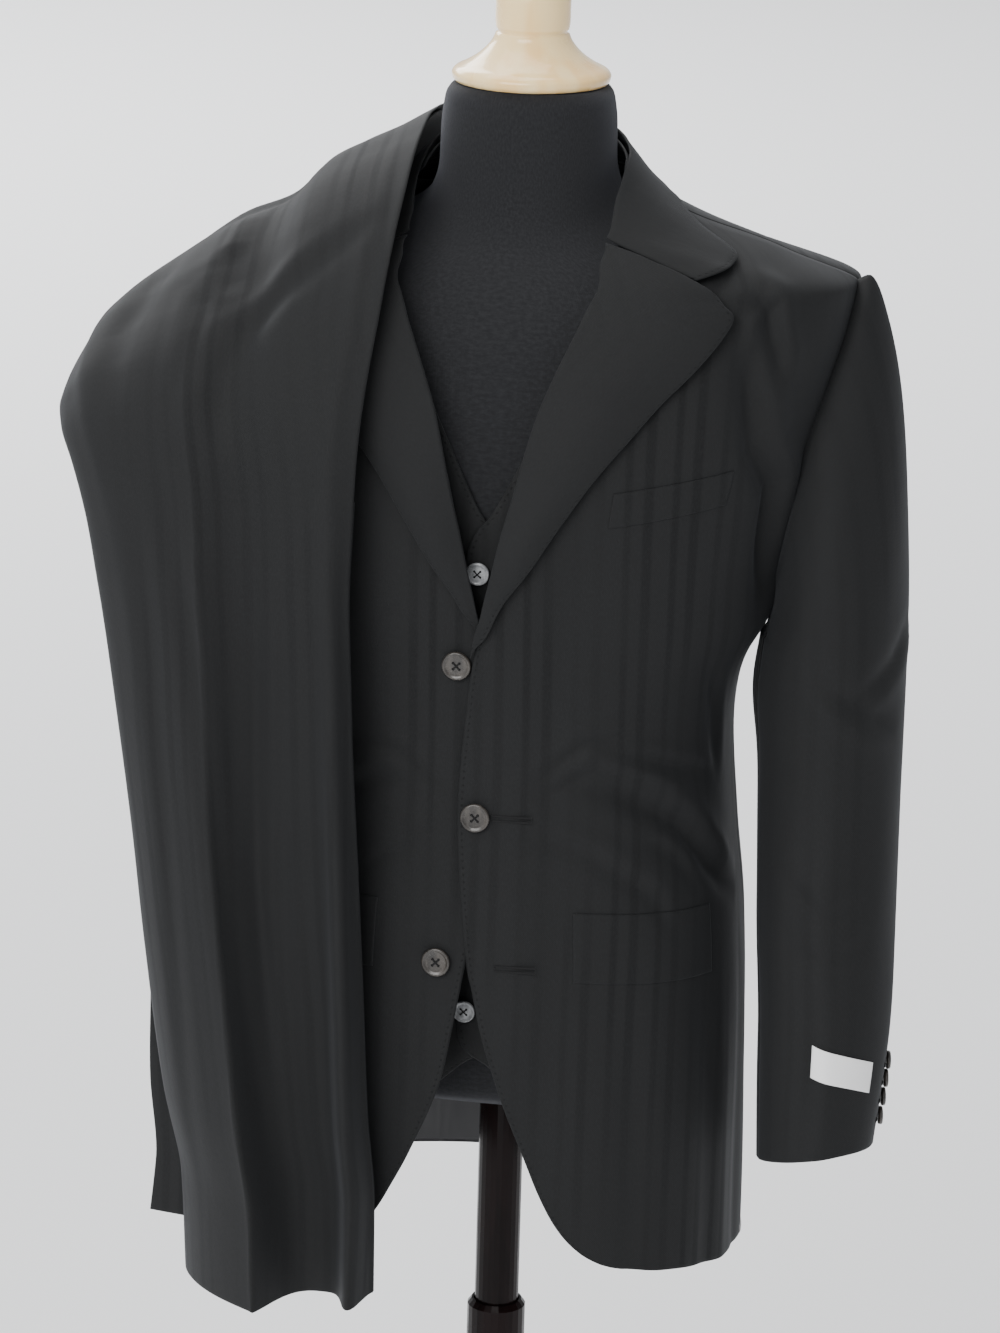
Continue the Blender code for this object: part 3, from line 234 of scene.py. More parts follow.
# the front: height of the inner edge (front edge, then roll line, then neck), its angle on the left and the right
# front, the place on the armhole that the row runs to, and how far down the side seam from there
Front = namedtuple("Front", "z left right turn drop")
FRONT = [
    Front(0.7192, -55.6, -55.6, 184, 0.4930),
    Front(0.7233, -61.0, -61.0, 184, 0.4850),
    Front(0.7346, -67.8, -67.8, 184, 0.4735),
    Front(0.7519, -73.0, -73.0, 184, 0.4580),
    Front(0.7741, -76.9, -76.9, 184, 0.4360),
    Front(0.7997, -80.1, -80.6, 184, 0.4090),
    Front(0.8568, -86.0, -86.3, 184, 0.3450),
    Front(0.9040, -89.1, -88.2, 184, 0.2970),
    Front(0.9550, -90.6, -89.8, 184, 0.2440),
    Front(1.0600, -92.4, -94.0, 184, 0.1370),
    Front(1.1350, -91.2, -93.0, 184, 0.0600),
    Front(1.1720, -90.3, -91.0, 184, 0.0200),
    Front(1.1920, -89.8, -89.5, 189, 0.0000),
    Front(1.2270, -88.7, -88.4, 222, 0.0000),
    Front(1.2825, -86.5, -86.5, 258, 0.0000),
    Front(1.3328, -84.2, -84.0, 288, 0.0000),
    Front(1.3628, -82.1, -82.1, 308, 0.0000),
    Front(1.3992, -79.0, -79.0, 328, 0.0000),
    Front(1.4330, -73.2, -73.2, 340, 0.0000),
    Front(1.4500, -60.5, -60.5, 348, 0.0000),
    Front(1.4660, -38.0, -38.0, 354, 0.0000),
    Front(1.4760, -18.0, -18.0, 358, 0.0000),
    Front(1.4815, -0.06, -0.06, 360, 0.0000),
]

Back = namedtuple("Back", "z centre turn drop")
BACK = [
    Back(0.6970, 89.95, 184, 0.4940),
    Back(1.0600, 89.95, 184, 0.1300),
    Back(1.1720, 89.95, 184, 0.0180),
    Back(1.1900, 89.95, 178, 0.0000),
    Back(1.2250, 89.95, 150, 0.0000),
    Back(1.2700, 89.95, 120, 0.0000),
    Back(1.3200, 89.95, 90, 0.0000),
    Back(1.3600, 89.95, 62, 0.0000),
    Back(1.4000, 89.95, 38, 0.0000),
    Back(1.4400, 89.95, 18, 0.0000),
    Back(1.4720, 89.95, 6, 0.0000),
    Back(1.4755, 60.0, 3.5, 0.0000),
    Back(1.4785, 30.0, 1.5, 0.0000),
    Back(1.4815, 0.06, 0.0, 0.0000),
]


def front_point(side, s, z, out=0.0, lifted=True):
    """A point of a front: s runs from the inner edge (0) to the side seam and the armhole (1), z picks the row."""
    s, z = np.broadcast_arrays(np.asarray(s, float), np.asarray(z, float))
    inner = along(FRONT, "left" if side > 0 else "right", z)
    turn, drop = along(FRONT, "turn", z), along(FRONT, "drop", z)
    angle = inner + s * (along(ARMHOLE, "angle", turn) - 0.06 - inner)
    height = z + s * (along(ARMHOLE, "z", turn) - drop - z)
    return jacket_point(side, angle, height, out + (front_lift(side, angle, height) if lifted else 0.0))


def front_lift(side, angle, z):
    """The left front stands over the right one where they overlap."""
    if side < 0:
        return np.zeros(np.shape(angle))
    return OVERLAP_LIFT * (1 - step(-85.0, -74.0, angle)) * step(0.76, 0.86, z) * (1 - step(1.22, 1.30, z))


def back_point(side, s, z, out=0.0):
    s, z = np.broadcast_arrays(np.asarray(s, float), np.asarray(z, float))
    inner = along(BACK, "centre", z)
    turn, drop = along(BACK, "turn", z), along(BACK, "drop", z)
    angle = inner + s * (along(ARMHOLE, "angle", turn) + 0.30 * step(0.0, 60.0, turn) + 0.06 - inner)
    height = z + s * (along(ARMHOLE, "z", turn) - drop - z)
    return jacket_point(side, angle, height, out)


# ---------- the lapels and the collar, made from the fronts' own points, moved out ----------
Lapel = namedtuple("Lapel", "z roll edge_z edge")
LAPEL = [
    Lapel(1.1740, -90.6, 1.1760, -89.2),
    Lapel(1.1920, -90.0, 1.1935, -88.4),
    Lapel(1.2070, -89.6, 1.2085, -87.0),
    Lapel(1.2270, -88.9, 1.2328, -83.3),
    Lapel(1.2550, -87.9, 1.2620, -79.2),
    Lapel(1.2825, -86.7, 1.2984, -73.6),
    Lapel(1.3100, -85.6, 1.3230, -68.7),
    Lapel(1.3370, -84.3, 1.3475, -63.6),
    Lapel(1.3650, -82.3, 1.3710, -57.8),
    Lapel(1.3920, -80.0, 1.4019, -51.8),
    Lapel(1.4180, -77.4, 1.4110, -54.2),
    Lapel(1.4370, -72.6, 1.4175, -56.0),
    Lapel(1.4515, -63.3, 1.4232, -57.7),
]

Leaf = namedtuple("Leaf", "at fold fold_z edge edge_z")
COLLAR_LEAF = [
    Leaf(0, -60.4, 1.4553, -57.0, 1.4250),
    Leaf(1, -55.0, 1.4602, -46.5, 1.4295),
    Leaf(2, -47.0, 1.4675, -38.2, 1.4340),
    Leaf(3, -36.0, 1.4762, -26.0, 1.4405),
    Leaf(4, -22.0, 1.4840, -13.0, 1.4520),
    Leaf(5, -8.0, 1.4895, -4.0, 1.4586),
    Leaf(6, 10.0, 1.4935, 12.0, 1.4665),
    Leaf(7, 34.0, 1.4965, 35.0, 1.4690),
    Leaf(8, 60.0, 1.4980, 60.0, 1.4680),
    Leaf(9, 90.0, 1.4985, 90.0, 1.4660),
]

Stand = namedtuple("Stand", "at angle low high")
COLLAR_STAND = [
    Stand(0, -12.0, 1.4805, 1.4850),
    Stand(1, 0.0, 1.4835, 1.4895),
    Stand(2, 30.0, 1.4812, 1.4925),
    Stand(3, 60.0, 1.4785, 1.4945),
    Stand(4, 90.0, 1.4755, 1.4950),
]


def lapel_point(side, s, z, out=0.0):
    s, z = np.broadcast_arrays(np.asarray(s, float), np.asarray(z, float))
    roll, edge = along(LAPEL, "roll", z), along(LAPEL, "edge", z)
    angle = roll + s * (edge - roll)
    height = z + s * (along(LAPEL, "edge_z", z) - z)
    rolled = 0.0025 * np.sin(np.pi * np.clip(s, 0, 1)) * step(1.18, 1.26, z)
    return jacket_point(side, angle, height, LAPEL_LIFT + out + rolled + front_lift(side, angle, height))


def two_sided(rows, column, at):
    """A column read from the left end (0) by the middle of the back (1) to the right end (2)."""
    last = rows[-1].at
    return along(rows, column, last * (1 - np.abs(1 - np.asarray(at, float))))


def on_both_sides(at, angle, z, out):
    left = jacket_point(1, angle, z, out)
    right = jacket_point(-1, angle, z, out)
    p = np.where((at < 1)[..., None], left, right)
    p[..., 2] = np.where(at > 1, right[..., 2], left[..., 2])
    p[..., 0] = np.where(np.abs(at - 1) < 1e-9, 0.0, p[..., 0])
    return p


def leaf_point(at, s, out=0.0):
    """The collar's leaf: s runs from its fold (0) to its outer edge (1)."""
    at, s = np.broadcast_arrays(np.asarray(at, float), np.asarray(s, float))
    fold, edge = two_sided(COLLAR_LEAF, "fold", at), two_sided(COLLAR_LEAF, "edge", at)
    fold_z, edge_z = two_sided(COLLAR_LEAF, "fold_z", at), two_sided(COLLAR_LEAF, "edge_z", at)
    ends = np.minimum(at, 2 - at)
    bridge = 0.0020 * np.sin(np.pi * s) * step(0.15, 0.45, ends)
    return on_both_sides(at, fold + s * (edge - fold), fold_z + s * (edge_z - fold_z), LEAF_LIFT + out + bridge)


def stand_point(at, s, out=0.0):
    at, s = np.broadcast_arrays(np.asarray(at, float), np.asarray(s, float))
    angle = two_sided(COLLAR_STAND, "angle", at)
    low, high = two_sided(COLLAR_STAND, "low", at), two_sided(COLLAR_STAND, "high", at)
    return on_both_sides(at, angle, low + s * (high - low), out)


# ---------- the sleeves: centre, half width and half depth going down from the armpit ----------
Arm = namedtuple("Arm", "drop x y half deep")
SLEEVE_LEFT = [
    Arm(0.000, 0.2295, -0.008, 0.0500, 0.0680),
    Arm(0.095, 0.2305, -0.012, 0.0505, 0.0630),
    Arm(0.195, 0.2340, -0.028, 0.0500, 0.0585),
    Arm(0.285, 0.2385, -0.045, 0.0470, 0.0540),
    Arm(0.368, 0.2375, -0.058, 0.0415, 0.0500),
]
SLEEVE_RIGHT = [
    Arm(0.000, 0.2270, 0.004, 0.0480, 0.0680),
    Arm(0.095, 0.2270, 0.012, 0.0480, 0.0620),
    Arm(0.195, 0.2235, 0.032, 0.0475, 0.0570),
    Arm(0.285, 0.2210, 0.048, 0.0460, 0.0530),
    Arm(0.368, 0.2150, 0.058, 0.0415, 0.0500),
]
ARMPIT = 1.165
FORE_SEAM, HIND_SEAM = -158.0, 22.0  # where the upper and the under sleeve are joined, round the arm


def sleeve_point(side, turn, v, out=0.0):
    """A point of a sleeve: turn goes round it (0 outside, 90 back, 180 inside, 270 front), v is 0 to 1 over the
    crown and 1 to 2 from the armpit to the cuff."""
    turn, v = np.broadcast_arrays(np.asarray(turn, float), np.asarray(v, float))
    rows = SLEEVE_LEFT if side > 0 else SLEEVE_RIGHT

    def ring(t, drop, extra):
        a = np.radians(t)
        c, s = np.cos(a), np.sin(a)
        lean = -0.008 * step(0.24, 0.36, drop)
        tip = 0.009 * step(0.15, 0.36, drop) * (1 if side > 0 else -1)
        return np.stack([
            along(rows, "x", drop) + (along(rows, "half", drop) + extra) * c,
            along(rows, "y", drop) + (along(rows, "deep", drop) + extra) * s,
            ARMPIT - drop - lean * c - tip * s], -1)

    a = np.radians(turn)
    w = (1 + np.cos(a)) / 2
    round_hole = np.mod(turn, 360.0)
    hole = ring_point(JACKET, along(ARMHOLE, "angle", round_hole), along(ARMHOLE, "z", round_hole), 0.0)
    leave = np.stack([np.ones_like(a), 0.95 * np.sin(a), 0.10 * np.cos(a)], -1)
    leave /= np.linalg.norm(leave, axis=-1, keepdims=True)
    hole = hole + leave * 0.0012
    foot = ring(turn, np.zeros_like(a), 0.0)
    t = np.clip(v, 0, 1)[..., None]
    c1 = hole + leave * (0.012 + 0.022 * w)[..., None]
    c2 = foot + np.stack([0 * a, 0 * a, 0.006 + 0.078 * w], -1)
    crown = hole * (1 - t) ** 3 + 3 * c1 * t * (1 - t) ** 2 + 3 * c2 * t * t * (1 - t) + foot * t ** 3
    below = ring(turn, np.clip(v - 1, 0, 1) * rows[-1].drop, 0.0)
    p = np.where((v <= 1)[..., None], crown, below)
    # the wall's thickness goes towards the arm's own middle line
    outward = np.stack([np.cos(a), np.sin(a), 0.75 * np.cos(a) * (1 - np.clip(v, 0, 1))], -1)
    outward /= np.linalg.norm(outward, axis=-1, keepdims=True)
    p = p + outward * np.broadcast_to(np.asarray(out, float), v.shape)[..., None]
    if side < 0:
        p[..., 0] *= -1
        p = settle_right(p)
    return p


# ---------- the waistcoat: on the form, a small gap away ----------
Vest = namedtuple("Vest", "z angle side side_z")
VEST_FRONT = [
    Vest(0.846, -84.0, 5.0, 0.930),
    Vest(0.858, -87.5, 5.0, 0.940),
    Vest(0.877, -92.3, 5.0, 0.955),
    Vest(0.900, -93.0, 5.0, 0.975),
    Vest(1.050, -93.0, 5.0, 1.070),
    Vest(1.200, -92.8, 5.0, 1.170),
    Vest(1.236, -92.2, 2.0, 1.190),
    Vest(1.264, -89.5, -10.0, 1.203),
    Vest(1.302, -85.4, -30.0, 1.235),
    Vest(1.339, -80.9, -38.0, 1.290),
    Vest(1.360, -78.6, -36.0, 1.335),
    Vest(1.395, -72.0, -28.0, 1.378),
    Vest(1.425, -55.0, -16.0, 1.402),
    Vest(1.448, -25.0, -6.0, 1.415),
    Vest(1.460, -0.06, -0.06, 1.422),
]
Vback = namedtuple("Vback", "z angle side side_z")
VEST_BACK = [
    Vback(0.918, 89.95, 5.4, 0.930),
    Vback(1.050, 89.95, 5.4, 1.070),
    Vback(1.160, 89.95, 5.4, 1.170),
    Vback(1.195, 89.95, 9.0, 1.190),
    Vback(1.260, 89.95, 25.0, 1.235),
    Vback(1.320, 89.95, 33.0, 1.290),
    Vback(1.365, 89.95, 31.0, 1.340),
    Vback(1.400, 89.95, 23.0, 1.380),
    Vback(1.430, 89.95, 11.0, 1.404),
    Vback(1.448, 89.95, 5.0, 1.413),
    Vback(1.453, 55.0, 2.0, 1.418),
    Vback(1.460, 0.06, 0.06, 1.422),
]


def vest_point(side, rows, s, z, out=0.0):
    s, z = np.broadcast_arrays(np.asarray(s, float), np.asarray(z, float))
    inner, outer = along(rows, "angle", z), along(rows, "side", z)
    angle = inner + s * (outer - inner)
    height = z + s * (along(rows, "side_z", z) - z)
    lift = 0.0
    if side > 0 and rows is VEST_FRONT:
        lift = 0.0036 * (1 - step(-86.0, -76.0, angle)) * (1 - step(1.255, 1.30, height))
    p = ring_point(FORM, angle, height, WAISTCOAT_GAP + 0.0025 * step(1.35, 1.41, height) + 0.0030 * step(1.435, 1.452, height) + WAISTCOAT + out + lift + 0.009 * (1 - step(0.850, 0.935, height)) * (1 - step(-60.0, -20.0, angle)))
    p[..., 0] *= side
    return p


# ---------- the trousers: a path from the hem up over the shoulder to the waist, each row from the neck side to the arm side ----------
Fall = namedtuple("Fall", "at in_x in_y in_z out_x out_y out_z bow")
FALL = [
    Fall(0.000, -0.060, -0.1540, 0.700, -0.209, -0.1020, 0.686, 0.00),
    Fall(0.080, -0.061, -0.1535, 0.770, -0.213, -0.1020, 0.760, 0.00),
    Fall(0.140, -0.067, -0.1530, 0.830, -0.227, -0.1020, 0.824, 0.00),
    Fall(0.240, -0.073, -0.1520, 0.930, -0.242, -0.1020, 0.930, 0.00),
    Fall(0.330, -0.079, -0.1500, 1.020, -0.253, -0.1010, 1.020, 0.00),
    Fall(0.430, -0.085, -0.1500, 1.120, -0.267, -0.1000, 1.118, 0.04),
    Fall(0.510, -0.087, -0.1540, 1.200, -0.278, -0.0990, 1.190, 0.12),
    Fall(0.570, -0.084, -0.1570, 1.260, -0.287, -0.0950, 1.238, 0.25),
    Fall(0.620, -0.081, -0.1560, 1.310, -0.298, -0.0880, 1.271, 0.42),
    Fall(0.670, -0.077, -0.1500, 1.360, -0.310, -0.0760, 1.289, 0.62),
    Fall(0.720, -0.072, -0.1380, 1.405, -0.317, -0.0560, 1.302, 0.80),
    Fall(0.770, -0.069, -0.1150, 1.445, -0.318, -0.0340, 1.311, 0.92),
    Fall(0.820, -0.067, -0.0800, 1.480, -0.317, -0.0140, 1.316, 1.00),
    Fall(0.870, -0.067, -0.0350, 1.504, -0.315, 0.0060, 1.318, 1.00),
    Fall(0.910, -0.067, 0.0050, 1.513, -0.313, 0.0260, 1.315, 1.00),
    Fall(0.950, -0.068, 0.0470, 1.511, -0.310, 0.0460, 1.306, 1.00),
    Fall(1.000, -0.069, 0.0950, 1.490, -0.306, 0.0700, 1.284, 0.95),
    Fall(1.060, -0.070, 0.1300, 1.446, -0.302, 0.0950, 1.243, 0.80),
    Fall(1.140, -0.072, 0.1520, 1.370, -0.297, 0.1140, 1.178, 0.55),
    Fall(1.210, -0.074, 0.1600, 1.302, -0.292, 0.1220, 1.116, 0.40),
    Fall(1.250, -0.074, 0.1610, 1.262, -0.288, 0.1240, 1.080, 0.35),
]

# the outline over the shoulder, from the neck side to the arm side
Crest = namedtuple("Crest", "share bow")
CREST = [
    Crest(0.00, 0.000),
    Crest(0.08, 0.003),
    Crest(0.18, 0.0105),
    Crest(0.26, 0.0145),
    Crest(0.37, 0.0090),
    Crest(0.49, 0.0170),
    Crest(0.63, 0.0210),
    Crest(0.78, 0.0218),
    Crest(0.86, 0.0205),
    Crest(0.92, 0.0130),
    Crest(0.97, 0.0060),
    Crest(1.00, 0.000),
]
FORK_AT = 0.585           # the inner panels of both legs end here
BAND_AT = 1.206           # the waistband starts here
WAIST_AT = 1.245
HEM_BEHIND = 0.038        # the leg behind is this much shorter

Under = namedtuple("Under", "at inner outer")
BEHIND = [Under(0.0, 0.20, 1.230), Under(0.06, 0.18, 1.165), Under(0.14, 0.14, 1.07), Under(0.24, 0.10, 0.985), Under(0.45, 0.06, 0.975), Under(0.60, 0.03, 0.985), Under(0.75, 0.015, 0.99), Under(1.30, 0.015, 0.99)]

Bulge = namedtuple("Bulge", "at ridge lip body stack")
BULGE = [
    Bulge(0.000, 0.056, 0.034, 0.012, 0.0105),
    Bulge(0.100, 0.050, 0.028, 0.012, 0.0105),
    Bulge(0.240, 0.040, 0.022, 0.011, 0.0105),
    Bulge(0.400, 0.029, 0.014, 0.010, 0.0105),
    Bulge(0.520, 0.020, 0.009, 0.009, 0.0105),
    Bulge(0.600, 0.014, 0.006, 0.007, 0.0102),
    Bulge(0.700, 0.008, 0.003, 0.004, 0.0040),
    Bulge(0.800, 0.003, 0.001, 0.001, 0.0030),
    Bulge(1.300, 0.000, 0.000, 0.000, 0.0030),
]

# the pressed crease, as a share of the way from the neck side to the arm side
Pressed = namedtuple("Pressed", "at share")
PRESSED = [Pressed(0.0, 0.515), Pressed(0.20, 0.560), Pressed(0.33, 0.590), Pressed(0.515, 0.548), Pressed(0.61, 0.518), Pressed(1.3, 0.515)]


def fall_point(at, s, out=0.0, turn=0.0):
    """A point on the path of the trousers, moved out from the body; turn swings that way out towards the front."""
    at, s = np.broadcast_arrays(np.asarray(at, float), np.asarray(s, float))

    def raw(a, t):
        inner = np.stack([along(FALL, k, a) for k in ("in_x", "in_y", "in_z")], -1)
        outer = np.stack([along(FALL, k, a) for k in ("out_x", "out_y", "out_z")], -1)
        return inner + (outer - inner) * t[..., None]

    across = raw(at, np.ones_like(s)) - raw(at, np.zeros_like(s))
    h = 0.012
    up = raw(np.minimum(at + h, FALL[-1].at), s) - raw(np.maximum(at - h, 0.0), s)
    n = np.cross(up, across)
    n /= np.linalg.norm(n, axis=-1, keepdims=True)
    n = n + np.stack([turn * (1 - step(0.45, 0.72, at)) * np.ones_like(s), 0 * s, 0 * s], -1)
    bow = along(FALL, "bow", at) * along(CREST, "bow", s)
    return raw(at, s) + n * (bow + out)[..., None]


def leg_profile(at, s):
    """How far the leg in front stands out: a pressed crease, a rounded lip by the neck-side edge and a little body."""
    s = np.asarray(s, float)
    pressed = along(PRESSED, "share", at)
    arm_side = np.clip((1 - s) / (1 - pressed), 0, 1) ** 1.1
    neck_side = np.exp(-(np.clip((pressed - s) / 0.10, 0, 9) ** 1.5))
    ridge = np.where(s > pressed, arm_side, neck_side)
    lip = bump(s, 0.070, 0.070) * step(0.0, 0.05, s)
    body = 1 - np.abs(2 * np.clip(s, 0, 1) - 1) ** 4
    return along(BULGE, "ridge", at) * ridge + along(BULGE, "lip", at) * lip + along(BULGE, "body", at) * body


def leg_front_outer(at, s, out=0.0):
    return fall_point(at, s, along(BULGE, "stack", at) + TROUSER + leg_profile(at, s) + out, 0.30)


def leg_front_inner(at, s, out=0.0):
    return fall_point(at, s, along(BULGE, "stack", at) - 0.0009 + out, 0.30)


def behind_share(at, s):
    inner, outer = along(BEHIND, "inner", at), along(BEHIND, "outer", at)
    return inner + np.asarray(s, float) * (outer - inner)


def leg_behind_outer(at, s, out=0.0):
    rounded = 0.0016 * (1 - np.abs(2 * np.clip(s, 0, 1) - 1) ** 3)
    return fall_point(at, behind_share(at, s), 0.0048 + rounded + out)


def leg_behind_inner(at, s, out=0.0):
    return fall_point(at, behind_share(at, s), TROUSER + out)


# ================= the scene =================
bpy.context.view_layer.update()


# ---------- creases: grooves and ridges along short paths on the cloth, in metres ----------
def ring_table(rings):
    """Length round a ring from the front middle, for every angle and height, as a grid."""
    angles = np.arange(-180.0, 181.0, 2.0)
    heights = np.linspace(rings[0].z, rings[-1].z, 60)
    a, z = np.meshgrid(angles, heights)
    p = ring_point(rings, a, z)
    lengths = np.concatenate([np.zeros((len(heights), 1)), np.cumsum(np.linalg.norm(np.diff(p, axis=1), axis=2), axis=1)], 1)
    middle = lengths[:, 45:46]  # at -90 degrees
    return angles, heights, lengths - middle


def round_length(table, angle, z):
    angles, heights, lengths = table
    i = np.clip((np.asarray(z, float) - heights[0]) / (heights[1] - heights[0]), 0, len(heights) - 1.001)
    j = np.clip((np.asarray(angle, float) - angles[0]) / 2.0, 0, len(angles) - 1.001)
    i0, j0 = np.floor(i).astype(int), np.floor(j).astype(int)
    fi, fj = i - i0, j - j0
    return ((lengths[i0, j0] * (1 - fi) + lengths[i0 + 1, j0] * fi) * (1 - fj)
            + (lengths[i0, j0 + 1] * (1 - fi) + lengths[i0 + 1, j0 + 1] * fi) * fj)


Fold = namedtuple("Fold", "depth width lip path")


def folded(u, v, folds):
    """Sum of the folds at a place (u across, v up): each is a groove along its path (a ridge if its depth is below
    zero) that fades at its ends, with a softer lip on the side to the left of the path."""
    total = np.zeros(np.shape(u))
    for fold in folds:
        path = np.array(fold.path, float)
        lengths = np.linalg.norm(np.diff(path, axis=0), axis=1)
        whole, run = lengths.sum(), 0.0
        best, where, signed = np.full(np.shape(u), 9.0), np.zeros(np.shape(u)), np.zeros(np.shape(u))
        for k, length in enumerate(lengths):
            a, d = path[k], (path[k + 1] - path[k]) / length
            du, dv = u - a[0], v - a[1]
            t = np.clip(du * d[0] + dv * d[1], 0, length)
            far = np.hypot(du - t * d[0], dv - t * d[1])
            near = far < best
            best = np.where(near, far, best)
            where = np.where(near, run + t, where)
            signed = np.where(near, (du * d[1] - dv * d[0]), signed)
            run += length
        fade = np.clip(np.sin(np.pi * np.clip(where / whole, 0.0, 1.0)) * 1.35, 0, 1)
        side = np.where(signed < 0, -best, best)
        total = total + fade * (-fold.depth * np.exp(-((best / fold.width) ** 2))
                                + fold.lip * np.exp(-(((side + 1.7 * fold.width) / (1.1 * fold.width)) ** 2)))
    return total


JACKET_TABLE, FORM_TABLE = ring_table(JACKET), ring_table(FORM)


def on_jacket(*places):
    return [(float(round_length(JACKET_TABLE, a, z)), z) for a, z in places]


LEFT_FOLDS = [
    Fold(0.0092, 0.0105, 0.0050, on_jacket((-47.5, 1.405), (-46.0, 1.378), (-37.6, 1.315), (-26.5, 1.284), (-16.8, 1.212), (-15.0, 1.18))),
    Fold(0.0062, 0.0070, 0.0032, on_jacket((-44.5, 1.428), (-42.5, 1.408), (-37.5, 1.376), (-34.0, 1.352))),
    Fold(-0.0036, 0.0080, 0.0, on_jacket((-44.2, 1.430), (-45.0, 1.41), (-46.5, 1.375))),
    Fold(0.0066, 0.0095, 0.0040, on_jacket((-74.0, 1.079), (-58.0, 1.070), (-46.0, 1.056), (-34.6, 1.038), (-25.8, 1.015), (-14.3, 0.989), (-4.0, 0.972))),
    Fold(0.0030, 0.0055, 0.0020, on_jacket((-80.0, 1.064), (-64.0, 1.088), (-51.0, 1.077), (-35.0, 1.059))),
    Fold(0.0020, 0.0055, 0.0014, on_jacket((-82.0, 1.068), (-68.0, 1.105), (-52.0, 1.112))),
    Fold(0.0024, 0.0070, 0.0016, on_jacket((-83.0, 1.040), (-66.0, 1.024), (-48.0, 0.994), (-40.0, 0.96))),
    Fold(0.0028, 0.0060, 0.0018, on_jacket((-62.0, 1.095), (-48.0, 1.090), (-30.0, 1.078), (-18.0, 1.066))),
    Fold(0.0026, 0.0060, 0.0018, on_jacket((-50.0, 1.036), (-38.0, 1.018), (-28.0, 0.992))),
    Fold(0.0024, 0.0080, 0.0012, on_jacket((-30.0, 1.165), (-20.0, 1.120), (-14.0, 1.06))),
    Fold(0.0018, 0.0110, 0.0010, on_jacket((-56.0, 0.93), (-54.0, 0.84), (-53.0, 0.74), (-53.0, 0.60))),
    Fold(0.0022, 0.0120, 0.0012, on_jacket((-28.0, 0.95), (-25.0, 0.84), (-24.0, 0.74), (-24.0, 0.60))),
    Fold(0.0014, 0.0110, 0.0010, on_jacket((-4.0, 0.96), (-3.0, 0.85), (-2.0, 0.62))),
    # the back
    Fold(0.0030, 0.0120, 0.0016, on_jacket((24.0, 1.29), (34.0, 1.24), (40.0, 1.17), (44.0, 1.10))),
    Fold(0.0022, 0.0110, 0.0012, on_jacket((88.0, 1.09), (62.0, 1.068), (38.0, 1.078), (14.0, 1.10))),
    Fold(0.0018, 0.0100, 0.0010, on_jacket((80.0, 1.05), (58.0, 1.03), (36.0, 1.02))),
    Fold(0.0022, 0.0140, 0.0012, on_jacket((56.0, 0.96), (52.0, 0.84), (50.0, 0.60))),
    Fold(0.0016, 0.0120, 0.0010, on_jacket((88.0, 1.45), (74.0, 1.425), (52.0, 1.43), (34.0, 1.44))),
]
RIGHT_FOLDS = [
    Fold(0.0030, 0.0100, 0.0016, on_jacket((-44.0, 1.36), (-37.0, 1.305), (-28.0, 1.27), (-18.0, 1.21))),
    Fold(0.0030, 0.0090, 0.0018, on_jacket((-82.0, 1.070), (-66.0, 1.066), (-48.0, 1.048), (-30.0, 1.02), (-12.0, 0.995))),
    Fold(0.0013, 0.0055, 0.0009, on_jacket((-86.0, 1.045), (-74.0, 1.020), (-62.0, 0.995))),
    Fold(0.0012, 0.0050, 0.0008, on_jacket((-86.0, 1.058), (-74.0, 1.090), (-60.0, 1.10))),
    Fold(0.0018, 0.0110, 0.0010, on_jacket((-52.0, 0.93), (-50.0, 0.84), (-50.0, 0.60))),
    Fold(0.0022, 0.0120, 0.0012, on_jacket((-22.0, 0.95), (-21.0, 0.84), (-21.0, 0.60))),
    Fold(0.0028, 0.0120, 0.0016, on_jacket((22.0, 1.29), (32.0, 1.25), (40.0, 1.18), (46.0, 1.11))),
    Fold(0.0022, 0.0110, 0.0012, on_jacket((89.0, 1.088), (64.0, 1.074), (40.0, 1.060), (14.0, 1.07))),
    Fold(0.0022, 0.0140, 0.0012, on_jacket((52.0, 0.96), (50.0, 0.84), (48.0, 0.60))),
    Fold(0.0016, 0.0120, 0.0010, on_jacket((88.0, 1.445), (72.0, 1.42), (54.0, 1.43))),
]


def jacket_folds(side, angle, z):
    """The folds that show in the cloth, large and small."""
    u = round_length(JACKET_TABLE, angle, z)
    out = folded(u, z, LEFT_FOLDS if side > 0 else RIGHT_FOLDS)
    at_seam = bump(angle, 88.0 if side > 0 else 91.0, 1.4)
    out = out - 0.0006 * at_seam * step(86.0, 89.0, angle)
    ease = 0.0007 * np.sin(u * 61.0 + 3.1 * z) * np.sin(z * 23.0 + 9.0 * u + side)
    swell = 0.0110 * bump(z, 1.182, 0.034) * bump(angle, -6.0, 26.0) if side > 0 else 0.0
    return out + ease + swell


